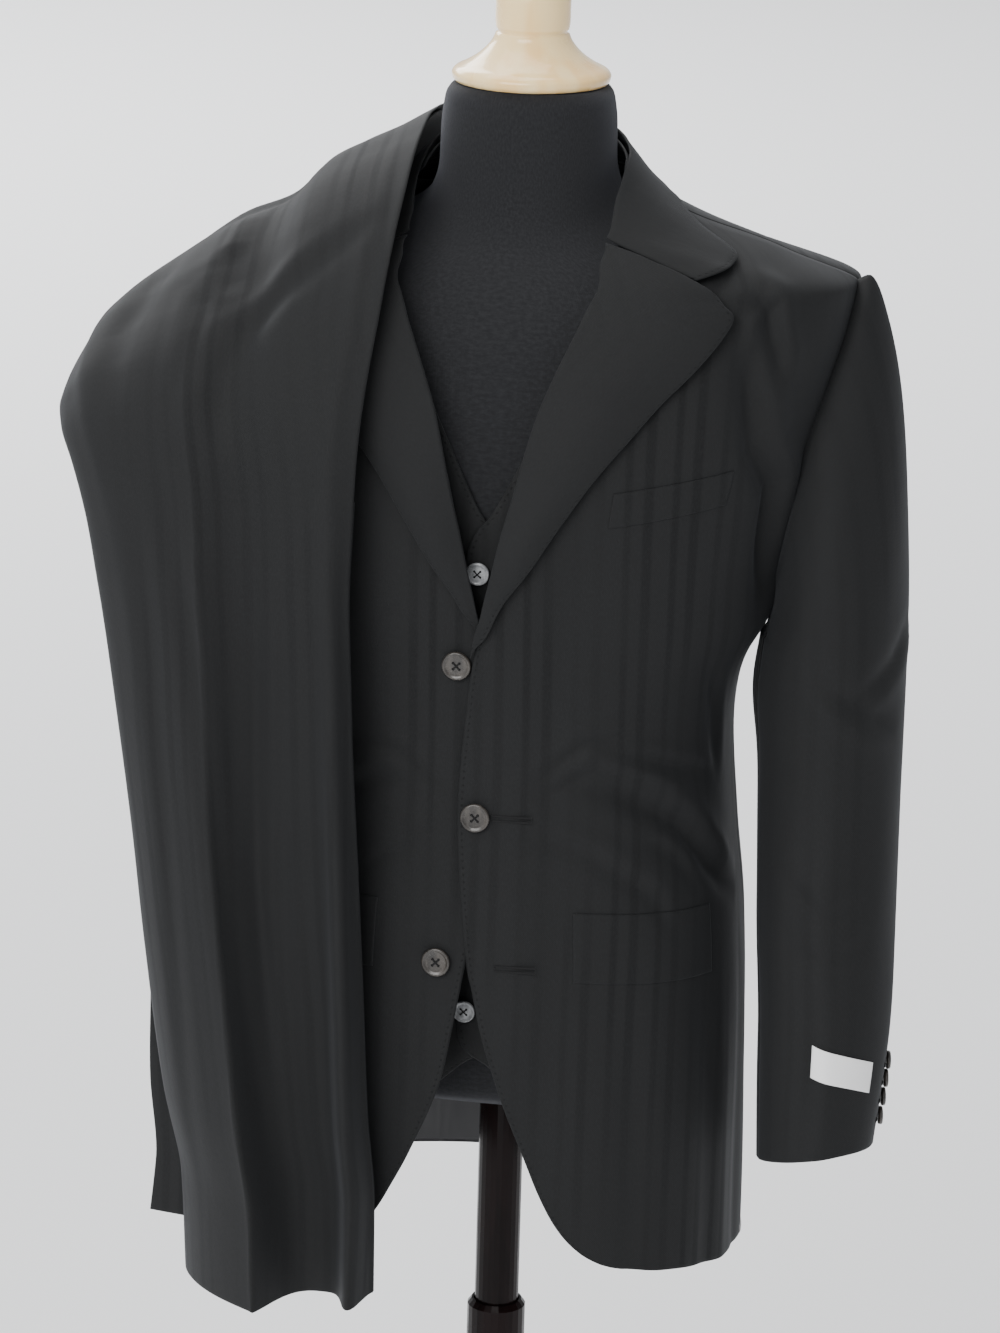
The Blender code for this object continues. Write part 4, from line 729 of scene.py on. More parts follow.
SLEEVE_FOLDS = {
    1: [
        Fold(0.0034, 0.0085, 0.0016, [(-0.018, 1.16), (-0.060, 1.095), (-0.098, 1.04)]),
        Fold(0.0026, 0.0080, 0.0012, [(0.006, 0.93), (-0.022, 1.02), (-0.070, 1.10)]),
        Fold(0.0026, 0.0100, 0.0016, [(-0.088, 1.28), (-0.098, 1.50), (-0.094, 1.75), (-0.086, 2.05)]),
        Fold(0.0022, 0.0110, 0.0014, [(0.020, 1.10), (0.024, 1.35), (0.014, 1.60), (0.006, 1.92)]),
        Fold(0.0016, 0.0070, 0.0012, [(-0.115, 1.44), (-0.080, 1.50), (-0.046, 1.49)]),
        Fold(0.0016, 0.0070, 0.0010, [(-0.110, 1.58), (-0.074, 1.60), (-0.040, 1.55)]),
        Fold(0.0018, 0.0080, 0.0012, [(0.06, 1.48), (0.10, 1.53), (0.14, 1.50)]),
        Fold(0.0014, 0.0070, 0.0010, [(0.06, 1.30), (0.09, 1.36), (0.13, 1.35)]),
    ],
    -1: [
        Fold(0.0030, 0.0085, 0.0016, [(-0.012, 1.16), (-0.050, 1.10), (-0.092, 1.05)]),
        Fold(0.0026, 0.0110, 0.0014, [(0.020, 1.10), (0.024, 1.35), (0.020, 1.60), (0.012, 1.92)]),
        Fold(0.0020, 0.0080, 0.0014, [(-0.110, 1.46), (-0.070, 1.52), (-0.030, 1.50)]),
        Fold(0.0022, 0.0080, 0.0014, [(0.05, 1.42), (0.09, 1.48), (0.14, 1.46)]),
        Fold(0.0018, 0.0080, 0.0012, [(0.05, 1.62), (0.09, 1.64), (0.13, 1.60)]),
    ],
}
plain_sleeve = sleeve_point


def sleeve_point(side, turn, v, out=0.0):
    """The sleeve with its folds; it starts tucked under the edge of the armhole, and rolls a little beside the seam."""
    turn, v = np.broadcast_arrays(np.asarray(turn, float), np.asarray(v, float))
    t = np.where(turn > 202.0, turn - 360.0, turn)
    u = t / 57.3 * 0.053
    # lengths run down the sleeve, at about 0.37 m for each step of v
    folds = [Fold(f.depth, f.width, f.lip, [(a, -0.37 * b) for a, b in f.path]) for f in SLEEVE_FOLDS[side]]
    more = folded(u, -0.37 * v, folds) * step(0.15, 0.5, v)
    more = more + 0.0008 * np.sin(7.0 * v + 0.05 * t) * np.sin(0.045 * t + 2.0 * v) * step(0.3, 0.8, v)
    head = 0.0022 * bump(t, -30.0, 75.0) * bump(v, 0.055, 0.045) + 0.0012 * bump(t, 60.0, 50.0) * bump(v, 0.07, 0.05)
    pressed = 0.0060 * bump(np.where(t < 0, t + 360.0, t), 178.0, 42.0) * bump(v, 1.10, 0.10)
    p = plain_sleeve(side, turn, v, np.asarray(out) + more + head + pressed)
    round_hole = np.mod(turn, 360.0)
    angle, z = along(ARMHOLE, "angle", round_hole), along(ARMHOLE, "z", round_hole)
    edge = jacket_point(side, angle, z, 0.0)
    bare = ring_point(JACKET, angle, z, 0.0)
    if side < 0:
        bare[..., 0] *= -1
        bare = settle_right(bare)
    a = np.radians(turn)
    leave = np.stack([side * np.ones_like(a), 0.95 * np.sin(a), 0.10 * np.cos(a)], -1)
    leave /= np.linalg.norm(leave, axis=-1, keepdims=True)
    crest = bump(t, 0.0, 55.0) * bump(v, 0.11, 0.10)
    rise = np.stack([-0.0006 * side * crest, 0 * crest, 0.0088 * crest], -1)
    return p + rise + (edge - bare - leave * 0.0022) * (1 - step(0.0, 0.16, v))[..., None]


LEG_WIDE = 0.20
LEG_FOLDS = [
    Fold(0.0030, 0.0085, 0.0010, [(0.130, 0.66), (0.122, 0.52), (0.112, 0.31), (0.095, 0.15), (0.088, -0.02)]),
    Fold(-0.0026, 0.0070, 0.0, [(0.052, 0.56), (0.062, 0.44), (0.073, 0.295), (0.070, 0.15)]),
    Fold(0.0022, 0.0065, 0.0, [(0.066, 0.56), (0.076, 0.44), (0.086, 0.31), (0.084, 0.16)]),
    Fold(-0.0024, 0.0090, 0.0, [(0.034, 0.64), (0.036, 0.55), (0.046, 0.36), (0.052, 0.24), (0.046, 0.10), (0.044, -0.04)]),
    Fold(0.0024, 0.0070, 0.0, [(0.020, 0.70), (0.022, 0.50), (0.026, 0.30), (0.028, 0.10)]),
    Fold(-0.0026, 0.0065, 0.0008, [(0.089, 0.885), (0.092, 0.85), (0.097, 0.805)]),
    Fold(0.0026, 0.0070, 0.0010, [(0.094, 0.83), (0.091, 0.797), (0.088, 0.765)]),
    Fold(0.0024, 0.0060, 0.0012, [(0.104, 0.795), (0.103, 0.771), (0.100, 0.734), (0.104, 0.67)]),
    Fold(0.0036, 0.0095, 0.0018, [(0.008, 0.80), (0.021, 0.786), (0.044, 0.761), (0.076, 0.724), (0.084, 0.690), (0.088, 0.62)]),
    Fold(0.0016, 0.0040, 0.0006, [(0.007, 0.88), (0.007, 0.833), (0.0068, 0.786), (0.0074, 0.701), (0.009, 0.61), (0.009, 0.50)]),
    Fold(0.0026, 0.0110, 0.0016, [(0.126, 0.90), (0.138, 0.83), (0.150, 0.76), (0.152, 0.66)]),
    Fold(0.0016, 0.0090, 0.0012, [(0.150, 0.60), (0.156, 0.45), (0.160, 0.25), (0.162, 0.05)]),
    Fold(0.0020, 0.0090, 0.0012, [(0.03, 0.93), (0.06, 0.905), (0.10, 0.895), (0.14, 0.91)]),
    Fold(0.0018, 0.0090, 0.0012, [(0.06, 1.02), (0.10, 0.985), (0.15, 0.99)]),
    Fold(0.0020, 0.0100, 0.0012, [(0.10, 1.18), (0.11, 1.10), (0.115, 1.02)]),
]


def leg_profile(at, s):
    s = np.asarray(s, float)
    ridge_at = along(PRESSED, "share", at)
    arm_side = np.clip((1 - s) / (1 - ridge_at), 0, 1) ** 0.62
    neck_side = np.exp(-(np.clip((ridge_at - s) / 0.10, 0, 9) ** 1.5))
    ridge = np.where(s > ridge_at, arm_side, neck_side)
    lip = bump(s, 0.070, 0.070) * step(0.0, 0.05, s)
    body = 1 - np.abs(2 * np.clip(s, 0, 1) - 1) ** 4
    more = folded(s * LEG_WIDE, np.asarray(at, float) + 0 * s, LEG_FOLDS) * step(0.0, 0.04, s) * (1 - step(0.96, 1.0, s))
    edge = 0.0011 * bump(s, ridge_at, 0.012) * (1 - step(0.62, 0.90, at))
    return along(BULGE, "ridge", at) * ridge + along(BULGE, "lip", at) * lip + along(BULGE, "body", at) * body + more + edge


LAPEL[0:2] = [Lapel(1.1660, -90.80, 1.1662, -90.60), Lapel(1.1790, -90.45, 1.1800, -89.35), Lapel(1.1920, -90.0, 1.1935, -88.4)]


def lapel_point(side, s, z, out=0.0):
    """The turned facing: it runs out to nothing above the top button, rolls along its fold and stands off at its corner."""
    s, z = np.broadcast_arrays(np.asarray(s, float), np.asarray(z, float))
    foot = 1.166 if side > 0 else 1.180
    roll, edge = along(LAPEL, "roll", z), along(LAPEL, "edge", z)
    edge = roll + (edge - roll) * (0.12 + 0.88 * step(foot - 0.004, foot + 0.022, z))
    angle = roll + s * (edge - roll)
    height = z + s * (along(LAPEL, "edge_z", z) - z)
    rolled = 0.0034 * np.sin(np.pi * np.clip(s, 0, 1)) * step(1.18, 1.26, z)
    corner = 0.0042 * s ** 2 * step(1.335, 1.385, z) * (1 - 0.75 * step(1.400, 1.440, z))
    belly = 0.0016 * s * bump(z, 1.26, 0.05)
    lift = LAPEL_LIFT * (0.15 + 0.85 * step(foot, foot + 0.030, z))
    return jacket_point(side, angle, height, lift + out + rolled + corner + belly + front_lift(side, angle, height))


def back_point(side, s, z, out=0.0):
    """The back, which closes up to the front at the side seam."""
    s, z = np.broadcast_arrays(np.asarray(s, float), np.asarray(z, float))
    inner = along(BACK, "centre", z)
    turn, drop = along(BACK, "turn", z), along(BACK, "drop", z)
    apart = 0.30 * step(0.0, 60.0, turn) * (1 - step(150.0, 183.0, turn)) + 0.06
    angle = inner + s * (along(ARMHOLE, "angle", turn) + apart - inner)
    height = z + s * (along(ARMHOLE, "z", turn) - drop - z)
    return jacket_point(side, angle, height, out)


plain_leaf = leaf_point


def leaf_point(at, s, out=0.0):
    """The collar's leaf; its front corners stand a little off the lapels."""
    at, s = np.broadcast_arrays(np.asarray(at, float), np.asarray(s, float))
    ends = np.minimum(at, 2 - at)
    return plain_leaf(at, s, out + 0.0040 * s ** 2 * bump(ends, 0.10, 0.13))


# ---------- procedural materials ----------
def nodes_of(name, base, roughness, specular=0.35, sheen=0.0, sheen_rough=0.4, sheen_tint=(1, 1, 1), coat=0.0, coat_rough=0.1):
    made = bpy.data.materials.new(name)
    made.use_nodes = True
    tree = made.node_tree
    shader = tree.nodes["Principled BSDF"]
    shader.inputs["Base Color"].default_value = (*base, 1)
    shader.inputs["Roughness"].default_value = roughness
    shader.inputs["Specular IOR Level"].default_value = specular
    shader.inputs["Sheen Weight"].default_value = sheen
    shader.inputs["Sheen Roughness"].default_value = sheen_rough
    shader.inputs["Sheen Tint"].default_value = (*sheen_tint, 1)
    shader.inputs["Coat Weight"].default_value = coat
    shader.inputs["Coat Roughness"].default_value = coat_rough
    return made, tree, shader


class Graph:
    """Short names for the shader nodes that the materials below are made of."""

    def __init__(self, tree):
        self.tree = tree

    def add(self, kind, **settings):
        node = self.tree.nodes.new(kind)
        for key, value in settings.items():
            setattr(node, key, value)
        return node

    def plug(self, socket, value):
        if isinstance(value, bpy.types.NodeSocket):
            self.tree.links.new(value, socket)
        else:
            socket.default_value = value

    def math(self, operation, a, b=0.0, c=0.0, clamp=False):
        node = self.add("ShaderNodeMath", operation=operation, use_clamp=clamp)
        for socket, value in zip(node.inputs, (a, b, c)):
            self.plug(socket, value)
        return node.outputs[0]

    def uv(self, name):
        node = self.add("ShaderNodeUVMap", uv_map=name)
        split = self.add("ShaderNodeSeparateXYZ")
        self.tree.links.new(node.outputs["UV"], split.inputs[0])
        return node.outputs["UV"], split.outputs["X"], split.outputs["Y"]

    def object_place(self):
        return self.add("ShaderNodeTexCoord").outputs["Object"]

    def noise(self, vector, scale, detail=3.0, rough=0.5, stretch=None):
        if stretch is not None:
            mapped = self.add("ShaderNodeMapping")
            self.tree.links.new(vector, mapped.inputs["Vector"])
            mapped.inputs["Scale"].default_value = stretch
            vector = mapped.outputs["Vector"]
        node = self.add("ShaderNodeTexNoise")
        self.tree.links.new(vector, node.inputs["Vector"])
        node.inputs["Scale"].default_value = scale
        node.inputs["Detail"].default_value = detail
        node.inputs["Roughness"].default_value = rough
        return node.outputs["Fac"]

    def mix(self, factor, a, b):
        node = self.add("ShaderNodeMix", data_type="RGBA")
        self.plug(node.inputs[0], factor)
        self.plug(node.inputs[6], a if isinstance(a, bpy.types.NodeSocket) else (*a, 1))
        self.plug(node.inputs[7], b if isinstance(b, bpy.types.NodeSocket) else (*b, 1))
        return node.outputs[2]

    def span(self, value, low, high, out_low=0.0, out_high=1.0):
        node = self.add("ShaderNodeMapRange", interpolation_type="SMOOTHSTEP", clamp=True)
        for index, given in enumerate((value, low, high, out_low, out_high)):
            self.plug(node.inputs[index], given)
        return node.outputs[0]

    def bump(self, height, strength, distance):
        node = self.add("ShaderNodeBump")
        self.tree.links.new(height, node.inputs["Height"])
        node.inputs["Strength"].default_value = strength
        node.inputs["Distance"].default_value = distance
        return node.outputs["Normal"]


def near_line(g, u, period, centre, half, soft):
    """1 within half of a line that repeats every period, in metres."""
    away = g.math("ABSOLUTE", g.math("SUBTRACT", g.math("PINGPONG", g.math("ADD", u, -centre + 50 * period), period / 2), 0.0))
    return g.span(away, half - soft, half + soft, 1.0, 0.0)


def suiting(name, colour=(0.0098, 0.0102, 0.0106), stripes=0.46, light=1.0):
    """Worsted twill: fine diagonal ribs, tonal shadow stripes in pairs, a little sheen, and pick stitching along the
    edges, with painted shade darkening the cloth in the stitch dimples.
    """
    made, tree, shader = nodes_of(name, colour, 0.76, 0.17, 0.05 * light, 0.45, (0.88, 0.92, 1.0))
    g = Graph(tree)
    vector, u, v = g.uv("weave")
    _, from_edge, on_edge = g.uv("edge")
    lit = tuple(c * 1.22 for c in colour)
    dark = tuple(c * 0.60 for c in colour)
    base = g.mix(g.noise(vector, 7.0, 4.0, 0.55), colour, lit)
    if stripes > 0:
        first = near_line(g, u, 0.0330, 0.0, 0.0026, 0.0016)
        second = near_line(g, u, 0.0330, 0.0140, 0.0034, 0.0016)
        both = g.math("MAXIMUM", first, second)
        # the stripes fade in and out with the light on the cloth
        broken = g.math("MULTIPLY", both, g.span(g.noise(vector, 11.0, 3.0, 0.55, (1.0, 0.22, 1.0)), 0.36, 0.66, 0.10, 1.0))
        base = g.mix(g.math("MULTIPLY", broken, stripes), base, dark)
        shader_rough = g.span(broken, 0.0, 1.0, 0.74, 0.74 + 0.25 * stripes)
        tree.links.new(shader_rough, shader.inputs["Roughness"])
    heather = g.noise(vector, 900.0, 2.0, 0.7, (1.0, 0.35, 1.0))
    base = g.mix(g.span(heather, 0.35, 0.75, 0.0, 0.34), base, tuple(c * 1.9 for c in colour))
    # pick stitching 3 mm in from the edge, one stitch every 5 mm: a small groove, and painted shade that darkens the
    # cloth along the stitches
    line = g.span(g.math("ABSOLUTE", g.math("SUBTRACT", from_edge, 0.0030)), 0.0004, 0.0009, 1.0, 0.0)
    stitch = g.span(g.math("PINGPONG", on_edge, 0.0025), 0.0006, 0.0011, 1.0, 0.0)
    stitch_groove_and_shade = g.math("MULTIPLY", line, stitch)
    # painted shade: the cloth colour is darkened to 0.35 along the pick stitches, where the stitch dimples would lie in
    # shade
    base = g.mix(g.math("MULTIPLY", stitch_groove_and_shade, 0.55), base, tuple(c * 0.35 for c in colour))
    tree.links.new(base, shader.inputs["Base Color"])
    # ribs at 45 degrees, 0.9 mm apart, and the fine unevenness of pressed wool
    rib = g.math("SINE", g.math("MULTIPLY", g.math("ADD", u, v), 2 * np.pi / 0.0013))
    height = g.math("ADD", g.math("MULTIPLY", rib, 0.000035), g.math("MULTIPLY", g.noise(vector, 42.0, 4.0, 0.6), 0.00055))
    height = g.math("SUBTRACT", height, g.math("MULTIPLY", stitch_groove_and_shade, 0.0004))
    tree.links.new(g.bump(height, 0.55, 1.0), shader.inputs["Normal"])
    return made


def satin(name, colour, roughness=0.34, specular=0.5):
    """Lining or satin: a finer, shinier weave that catches the light along the thread."""
    made, tree, shader = nodes_of(name, colour, roughness, specular, 0.15, 0.3)
    g = Graph(tree)
    vector, u, v = g.uv("weave")
    tree.links.new(g.mix(g.noise(vector, 12.0, 3.0, 0.5), colour, tuple(min(1, c * 1.18) for c in colour)), shader.inputs["Base Color"])
    tree.links.new(g.span(g.noise(vector, 260.0, 2.0, 0.6, (1.0, 0.12, 1.0)), 0.3, 0.7, roughness - 0.06, roughness + 0.10), shader.inputs["Roughness"])
    height = g.math("ADD", g.math("MULTIPLY", g.noise(vector, 30.0, 3.0, 0.5), 0.0005),
                    g.math("MULTIPLY", g.math("SINE", g.math("MULTIPLY", v, 2 * np.pi / 0.0011)), 0.00002))
    tree.links.new(g.bump(height, 0.5, 1.0), shader.inputs["Normal"])
    return made


def jersey(name, colour):
    """Stretched cotton jersey: fine upright wales with a soft nap."""
    made, tree, shader = nodes_of(name, colour, 0.93, 0.14, 0.12, 0.5, (0.85, 0.88, 1.0))
    g = Graph(tree)
    vector, u, v = g.uv("weave")
    fine = g.noise(vector, 420.0, 3.0, 0.65)
    tree.links.new(g.mix(g.span(fine, 0.30, 0.75), tuple(c * 0.85 for c in colour), tuple(c * 1.35 for c in colour)), shader.inputs["Base Color"])
    wale = g.math("ABSOLUTE", g.math("SINE", g.math("MULTIPLY", u, np.pi / 0.0011)))
    height = g.math("ADD", g.math("MULTIPLY", wale, 0.00006), g.math("MULTIPLY", fine, 0.00022))
    tree.links.new(g.bump(height, 0.6, 1.0), shader.inputs["Normal"])
    return made


def wood(name, pale, deep, roughness, coat, ring_scale, direction=(1.0, 1.0, 0.18), specular=0.5):
    """Turned and varnished wood: a straight grain along the turning, with a clear coat."""
    made, tree, shader = nodes_of(name, pale, roughness, specular, coat=coat, coat_rough=0.06)
    g = Graph(tree)
    place = g.object_place()
    broad = g.noise(place, ring_scale, 4.0, 0.6, direction)
    fine = g.noise(place, ring_scale * 9.0, 3.0, 0.6, direction)
    grain = g.math("ADD", g.math("MULTIPLY", g.math("SINE", g.math("MULTIPLY", broad, 34.0)), 0.5), g.math("MULTIPLY", fine, 0.7))
    tree.links.new(g.mix(g.span(grain, -0.2, 1.15), pale, deep), shader.inputs["Base Color"])
    worn = g.span(g.noise(place, 26.0, 4.0, 0.6), 0.35, 0.75, roughness - 0.04, roughness + 0.10)
    tree.links.new(worn, shader.inputs["Roughness"])
    tree.links.new(g.bump(fine, 0.12, 0.0006), shader.inputs["Normal"])
    return made


def horn(name, deep, pale, roughness=0.30, scale=130.0):
    """Polished horn or shell: cloudy streaks under a gloss."""
    made, tree, shader = nodes_of(name, deep, roughness, 0.5, coat=0.35, coat_rough=0.12)
    g = Graph(tree)
    place = g.object_place()
    cloud = g.noise(place, scale, 5.0, 0.62, (1.0, 1.0, 0.4))
    tree.links.new(g.mix(g.span(cloud, 0.32, 0.70), deep, pale), shader.inputs["Base Color"])
    tree.links.new(g.span(g.noise(place, scale * 2.5, 3.0, 0.5), 0.3, 0.7, roughness - 0.06, roughness + 0.12), shader.inputs["Roughness"])
    tree.links.new(g.bump(cloud, 0.10, 0.0004), shader.inputs["Normal"])
    return made


def thread(name, colour):
    made, tree, shader = nodes_of(name, colour, 0.8, 0.2, 0.2)
    g = Graph(tree)
    place = g.object_place()
    twist = g.noise(place, 1600.0, 2.0, 0.6)
    tree.links.new(g.mix(twist, tuple(c * 0.7 for c in colour), tuple(min(1, c * 1.2) for c in colour)), shader.inputs["Base Color"])
    tree.links.new(g.bump(twist, 0.4, 0.0003), shader.inputs["Normal"])
    return made


SUIT = suiting("suiting_twill")
SUIT_PLAIN = suiting("suiting_facing", stripes=0.07)
SUIT_SLEEVE = suiting("suiting_sleeve", stripes=0.20)
SUIT_TROUSER = suiting("suiting_trouser", stripes=0.30)
LINING = satin("lining_satin", (0.012, 0.012, 0.014))
SATIN = satin("waistcoat_satin", (0.013, 0.013, 0.015))
JERSEY = jersey("form_jersey", (0.0150, 0.0155, 0.0168))
MAPLE = wood("cap_maple", (0.98, 0.74, 0.37), (0.93, 0.60, 0.24), 0.24, 0.5, 9.0)
DARK = wood("stand_dark_wood", (0.0085, 0.0045, 0.0045), (0.0045, 0.0028, 0.0028), 0.20, 0.0, 20.0, specular=0.10)
HORN = horn("button_horn", (0.014, 0.012, 0.010), (0.060, 0.052, 0.044))
PEARL = horn("button_shell", (0.14, 0.145, 0.15), (0.38, 0.39, 0.40), 0.24, 160.0)
DARK_THREAD = thread("sewing_thread", (0.0085, 0.0086, 0.0092))
# painted shade: the near-black colour of the discs drawn for the buttons' holes
HOLE_SHADE = thread("button_hole_painted_shade", (0.004, 0.004, 0.004))
LABEL = satin("label_satin", (0.80, 0.80, 0.80), 0.45, 0.4)


# ---------- making pieces ----------
def mesh_piece(name, points, faces, materials, smooth=True, sharp=40.0):
    mesh = bpy.data.meshes.new(name)
    mesh.from_pydata([tuple(map(float, p)) for p in points], [], faces)
    shape = bmesh.new()
    shape.from_mesh(mesh)
    bmesh.ops.recalc_face_normals(shape, faces=shape.faces)
    if shape.calc_volume(signed=True) < 0:
        bmesh.ops.reverse_faces(shape, faces=shape.faces)
    shape.to_mesh(mesh)
    shape.free()
    if smooth:
        mesh.shade_smooth()
        mesh.set_sharp_from_angle(angle=np.radians(sharp))
    made = bpy.data.objects.new(name, mesh)
    bpy.context.scene.collection.objects.link(made)
    for one in materials:
        mesh.materials.append(one)
    return made


MEASURED = {}
CUTS = {}


def cloth(name, surface, rows, across, wall, replaced, materials=(None,), weave=None, edge=None, slot="suiting", body="figure",
          held="draped", rests_on=("form",), rounded=0.22):
    """A sheet of cloth on its surface(share across, row, moved out), with its outside, its inside wall-deep and a rounded
    rim. weave(s, v) gives the place in the weave in metres; edge is the share-across side that carries stitching."""
    rows, across = list(map(float, rows)), list(map(float, across))
    v, s = np.meshgrid(rows, across, indexing="ij")
    first = surface(s, v, 0.0)
    # a narrow row of faces along each border, so that the rounding stays at the very edge
    down = np.linalg.norm(np.diff(first, axis=0), axis=2).mean(1)
    over = np.linalg.norm(np.diff(first, axis=1), axis=2).mean(0)
    for values, cells in ((rows, down), (across, over)):
        near_end, near_start = 0.0008 / cells[-1], 0.0008 / cells[0]
        if near_end < 0.5:
            values.insert(len(values) - 1, values[-1] + (values[-2] - values[-1]) * near_end)
        if near_start < 0.5:
            values.insert(1, values[0] + (values[1] - values[0]) * near_start)
    v, s = np.meshgrid(rows, across, indexing="ij")
    nv, ns = v.shape
    outer, inner = surface(s, v, 0.0), surface(s, v, -wall)
    rim = np.zeros((nv, ns))
    rim[0, :] = rim[-1, :] = 1
    rim[:, 0] = rim[:, -1] = 1
    towards = (inner - outer) * (rim * rounded)[..., None]
    outer, inner = outer + towards, inner - towards
    points = np.concatenate([outer.reshape(-1, 3), inner.reshape(-1, 3)])
    i, j = np.meshgrid(np.arange(nv - 1), np.arange(ns - 1), indexing="ij")
    a = (i * ns + j).ravel()
    quads = np.stack([a, a + 1, a + ns + 1, a + ns], 1)
    under = np.stack([a, a + ns, a + ns + 1, a + 1], 1) + nv * ns
    ring = ([k for k in range(ns)] + [k * ns + ns - 1 for k in range(1, nv)] + [(nv - 1) * ns + k for k in range(ns - 2, -1, -1)]
            + [k * ns for k in range(nv - 2, 0, -1)])
    sides = [(ring[k], ring[k] + nv * ns, ring[(k + 1) % len(ring)] + nv * ns, ring[(k + 1) % len(ring)]) for k in range(len(ring))]
    faces = [tuple(map(int, q)) for q in quads] + [tuple(map(int, q)) for q in under] + sides
    mesh = bpy.data.meshes.new(name)
    mesh.from_pydata([tuple(map(float, p)) for p in points], [], faces)
    n = len(quads)
    which = np.zeros(len(faces), np.int32)
    if len(materials) > 1:
        which[n:2 * n] = 1
    mesh.polygons.foreach_set("material_index", which)
    # places in the weave and by the edge, in metres
    if weave is None:
        u = np.concatenate([np.zeros((nv, 1)), np.cumsum(np.linalg.norm(np.diff(outer, axis=1), axis=2), axis=1)], 1)
        along_v = np.concatenate([np.zeros((1, ns)), np.cumsum(np.linalg.norm(np.diff(outer, axis=0), axis=2), axis=0)], 0)
    else:
        u, along_v = weave(s, v, outer)
    step_u = np.concatenate([np.zeros((nv, 1)), np.cumsum(np.linalg.norm(np.diff(outer, axis=1), axis=2), axis=1)], 1)
    step_v = np.concatenate([np.zeros((1, ns)), np.cumsum(np.linalg.norm(np.diff(outer, axis=0), axis=2), axis=0)], 0)
    if edge == 0:
        far, run = step_u, step_v[:, :1] + 0 * step_v
    elif edge == 1:
        far, run = step_u[:, -1:] - step_u, step_v[:, -1:] + 0 * step_v
    elif edge == 2:
        far, run = step_v[-1:, :] - step_v, step_u[-1:, :] + 0 * step_u
    elif edge == 3:
        far, run = step_v, step_u[:1, :] + 0 * step_u
    else:
        far, run = step_u + 1.0, step_v
    loops = np.empty(len(mesh.loops), np.int32)
    mesh.loops.foreach_get("vertex_index", loops)
    for layer_name, first, second in (("weave", u, along_v), ("edge", far, run)):
        layer = mesh.uv_layers.new(name=layer_name)
        both = np.stack([np.concatenate([first.ravel()] * 2), np.concatenate([second.ravel()] * 2)], 1)[loops]
        layer.data.foreach_set("uv", both.astype(np.float32).ravel())
    shape = bmesh.new()
    shape.from_mesh(mesh)
    bmesh.ops.recalc_face_normals(shape, faces=shape.faces)
    if shape.calc_volume(signed=True) < 0:
        bmesh.ops.reverse_faces(shape, faces=shape.faces)
    area = sum(face.calc_area() for face in shape.faces) / 2
    shape.to_mesh(mesh)
    shape.free()
    mesh.shade_smooth()
    made = bpy.data.objects.new(name, mesh)
    bpy.context.scene.collection.objects.link(made)
    for one in materials:
        mesh.materials.append(one or SUIT)
    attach(made, body)
    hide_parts(*replaced)
    MEASURED[name] = (float(step_u[:, -1].max()), float(step_v[-1, :].max()), float(area))
    if name in CUTS:
        width, length, cut = CUTS[name]
    else:
        width, length, cut = round(MEASURED[name][0], 3), round(MEASURED[name][1], 3), None
        cut = min(area, width * length)
    return made


def lathe(name, profile, sides, material, node=None, body="figure", fine=3):
    """A turned piece from (radius, height) pairs, with its profile smoothed between them."""
    profile = np.array(profile, float)
    points, faces = [], []
    for radius, z in profile:
        a = np.arange(sides) * 2 * np.pi / sides
        points.append(np.stack([radius * np.cos(a), radius * np.sin(a), np.full(sides, z)], 1))
    count = len(profile)
    for i in range(count - 1):
        for k in range(sides):
            m = (k + 1) % sides
            faces.append((i * sides + k, i * sides + m, (i + 1) * sides + m, (i + 1) * sides + k))
    faces.append(tuple(range(sides))[::-1])
    faces.append(tuple((count - 1) * sides + k for k in range(sides)))
    made = mesh_piece(name, np.concatenate(points), faces, [material], sharp=50.0)
    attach(made, body)
    if node:
        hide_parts(node)
    return made


def smoothed(profile, count):
    """A profile read through a smooth curve that keeps its points."""
    p = np.array(profile, float)
    t = np.concatenate([[0], np.cumsum(np.linalg.norm(np.diff(p, axis=0), axis=1))])
    where = np.linspace(0, t[-1], count)
    rows = [Fold(a, b, 0, 0) for a, b in p]
    both = []
    Knot = namedtuple("Knot", "at value")
    for column in range(2):
        both.append(along([Knot(a, b) for a, b in zip(t, p[:, column])], "value", where))
    return list(zip(both[0], both[1]))


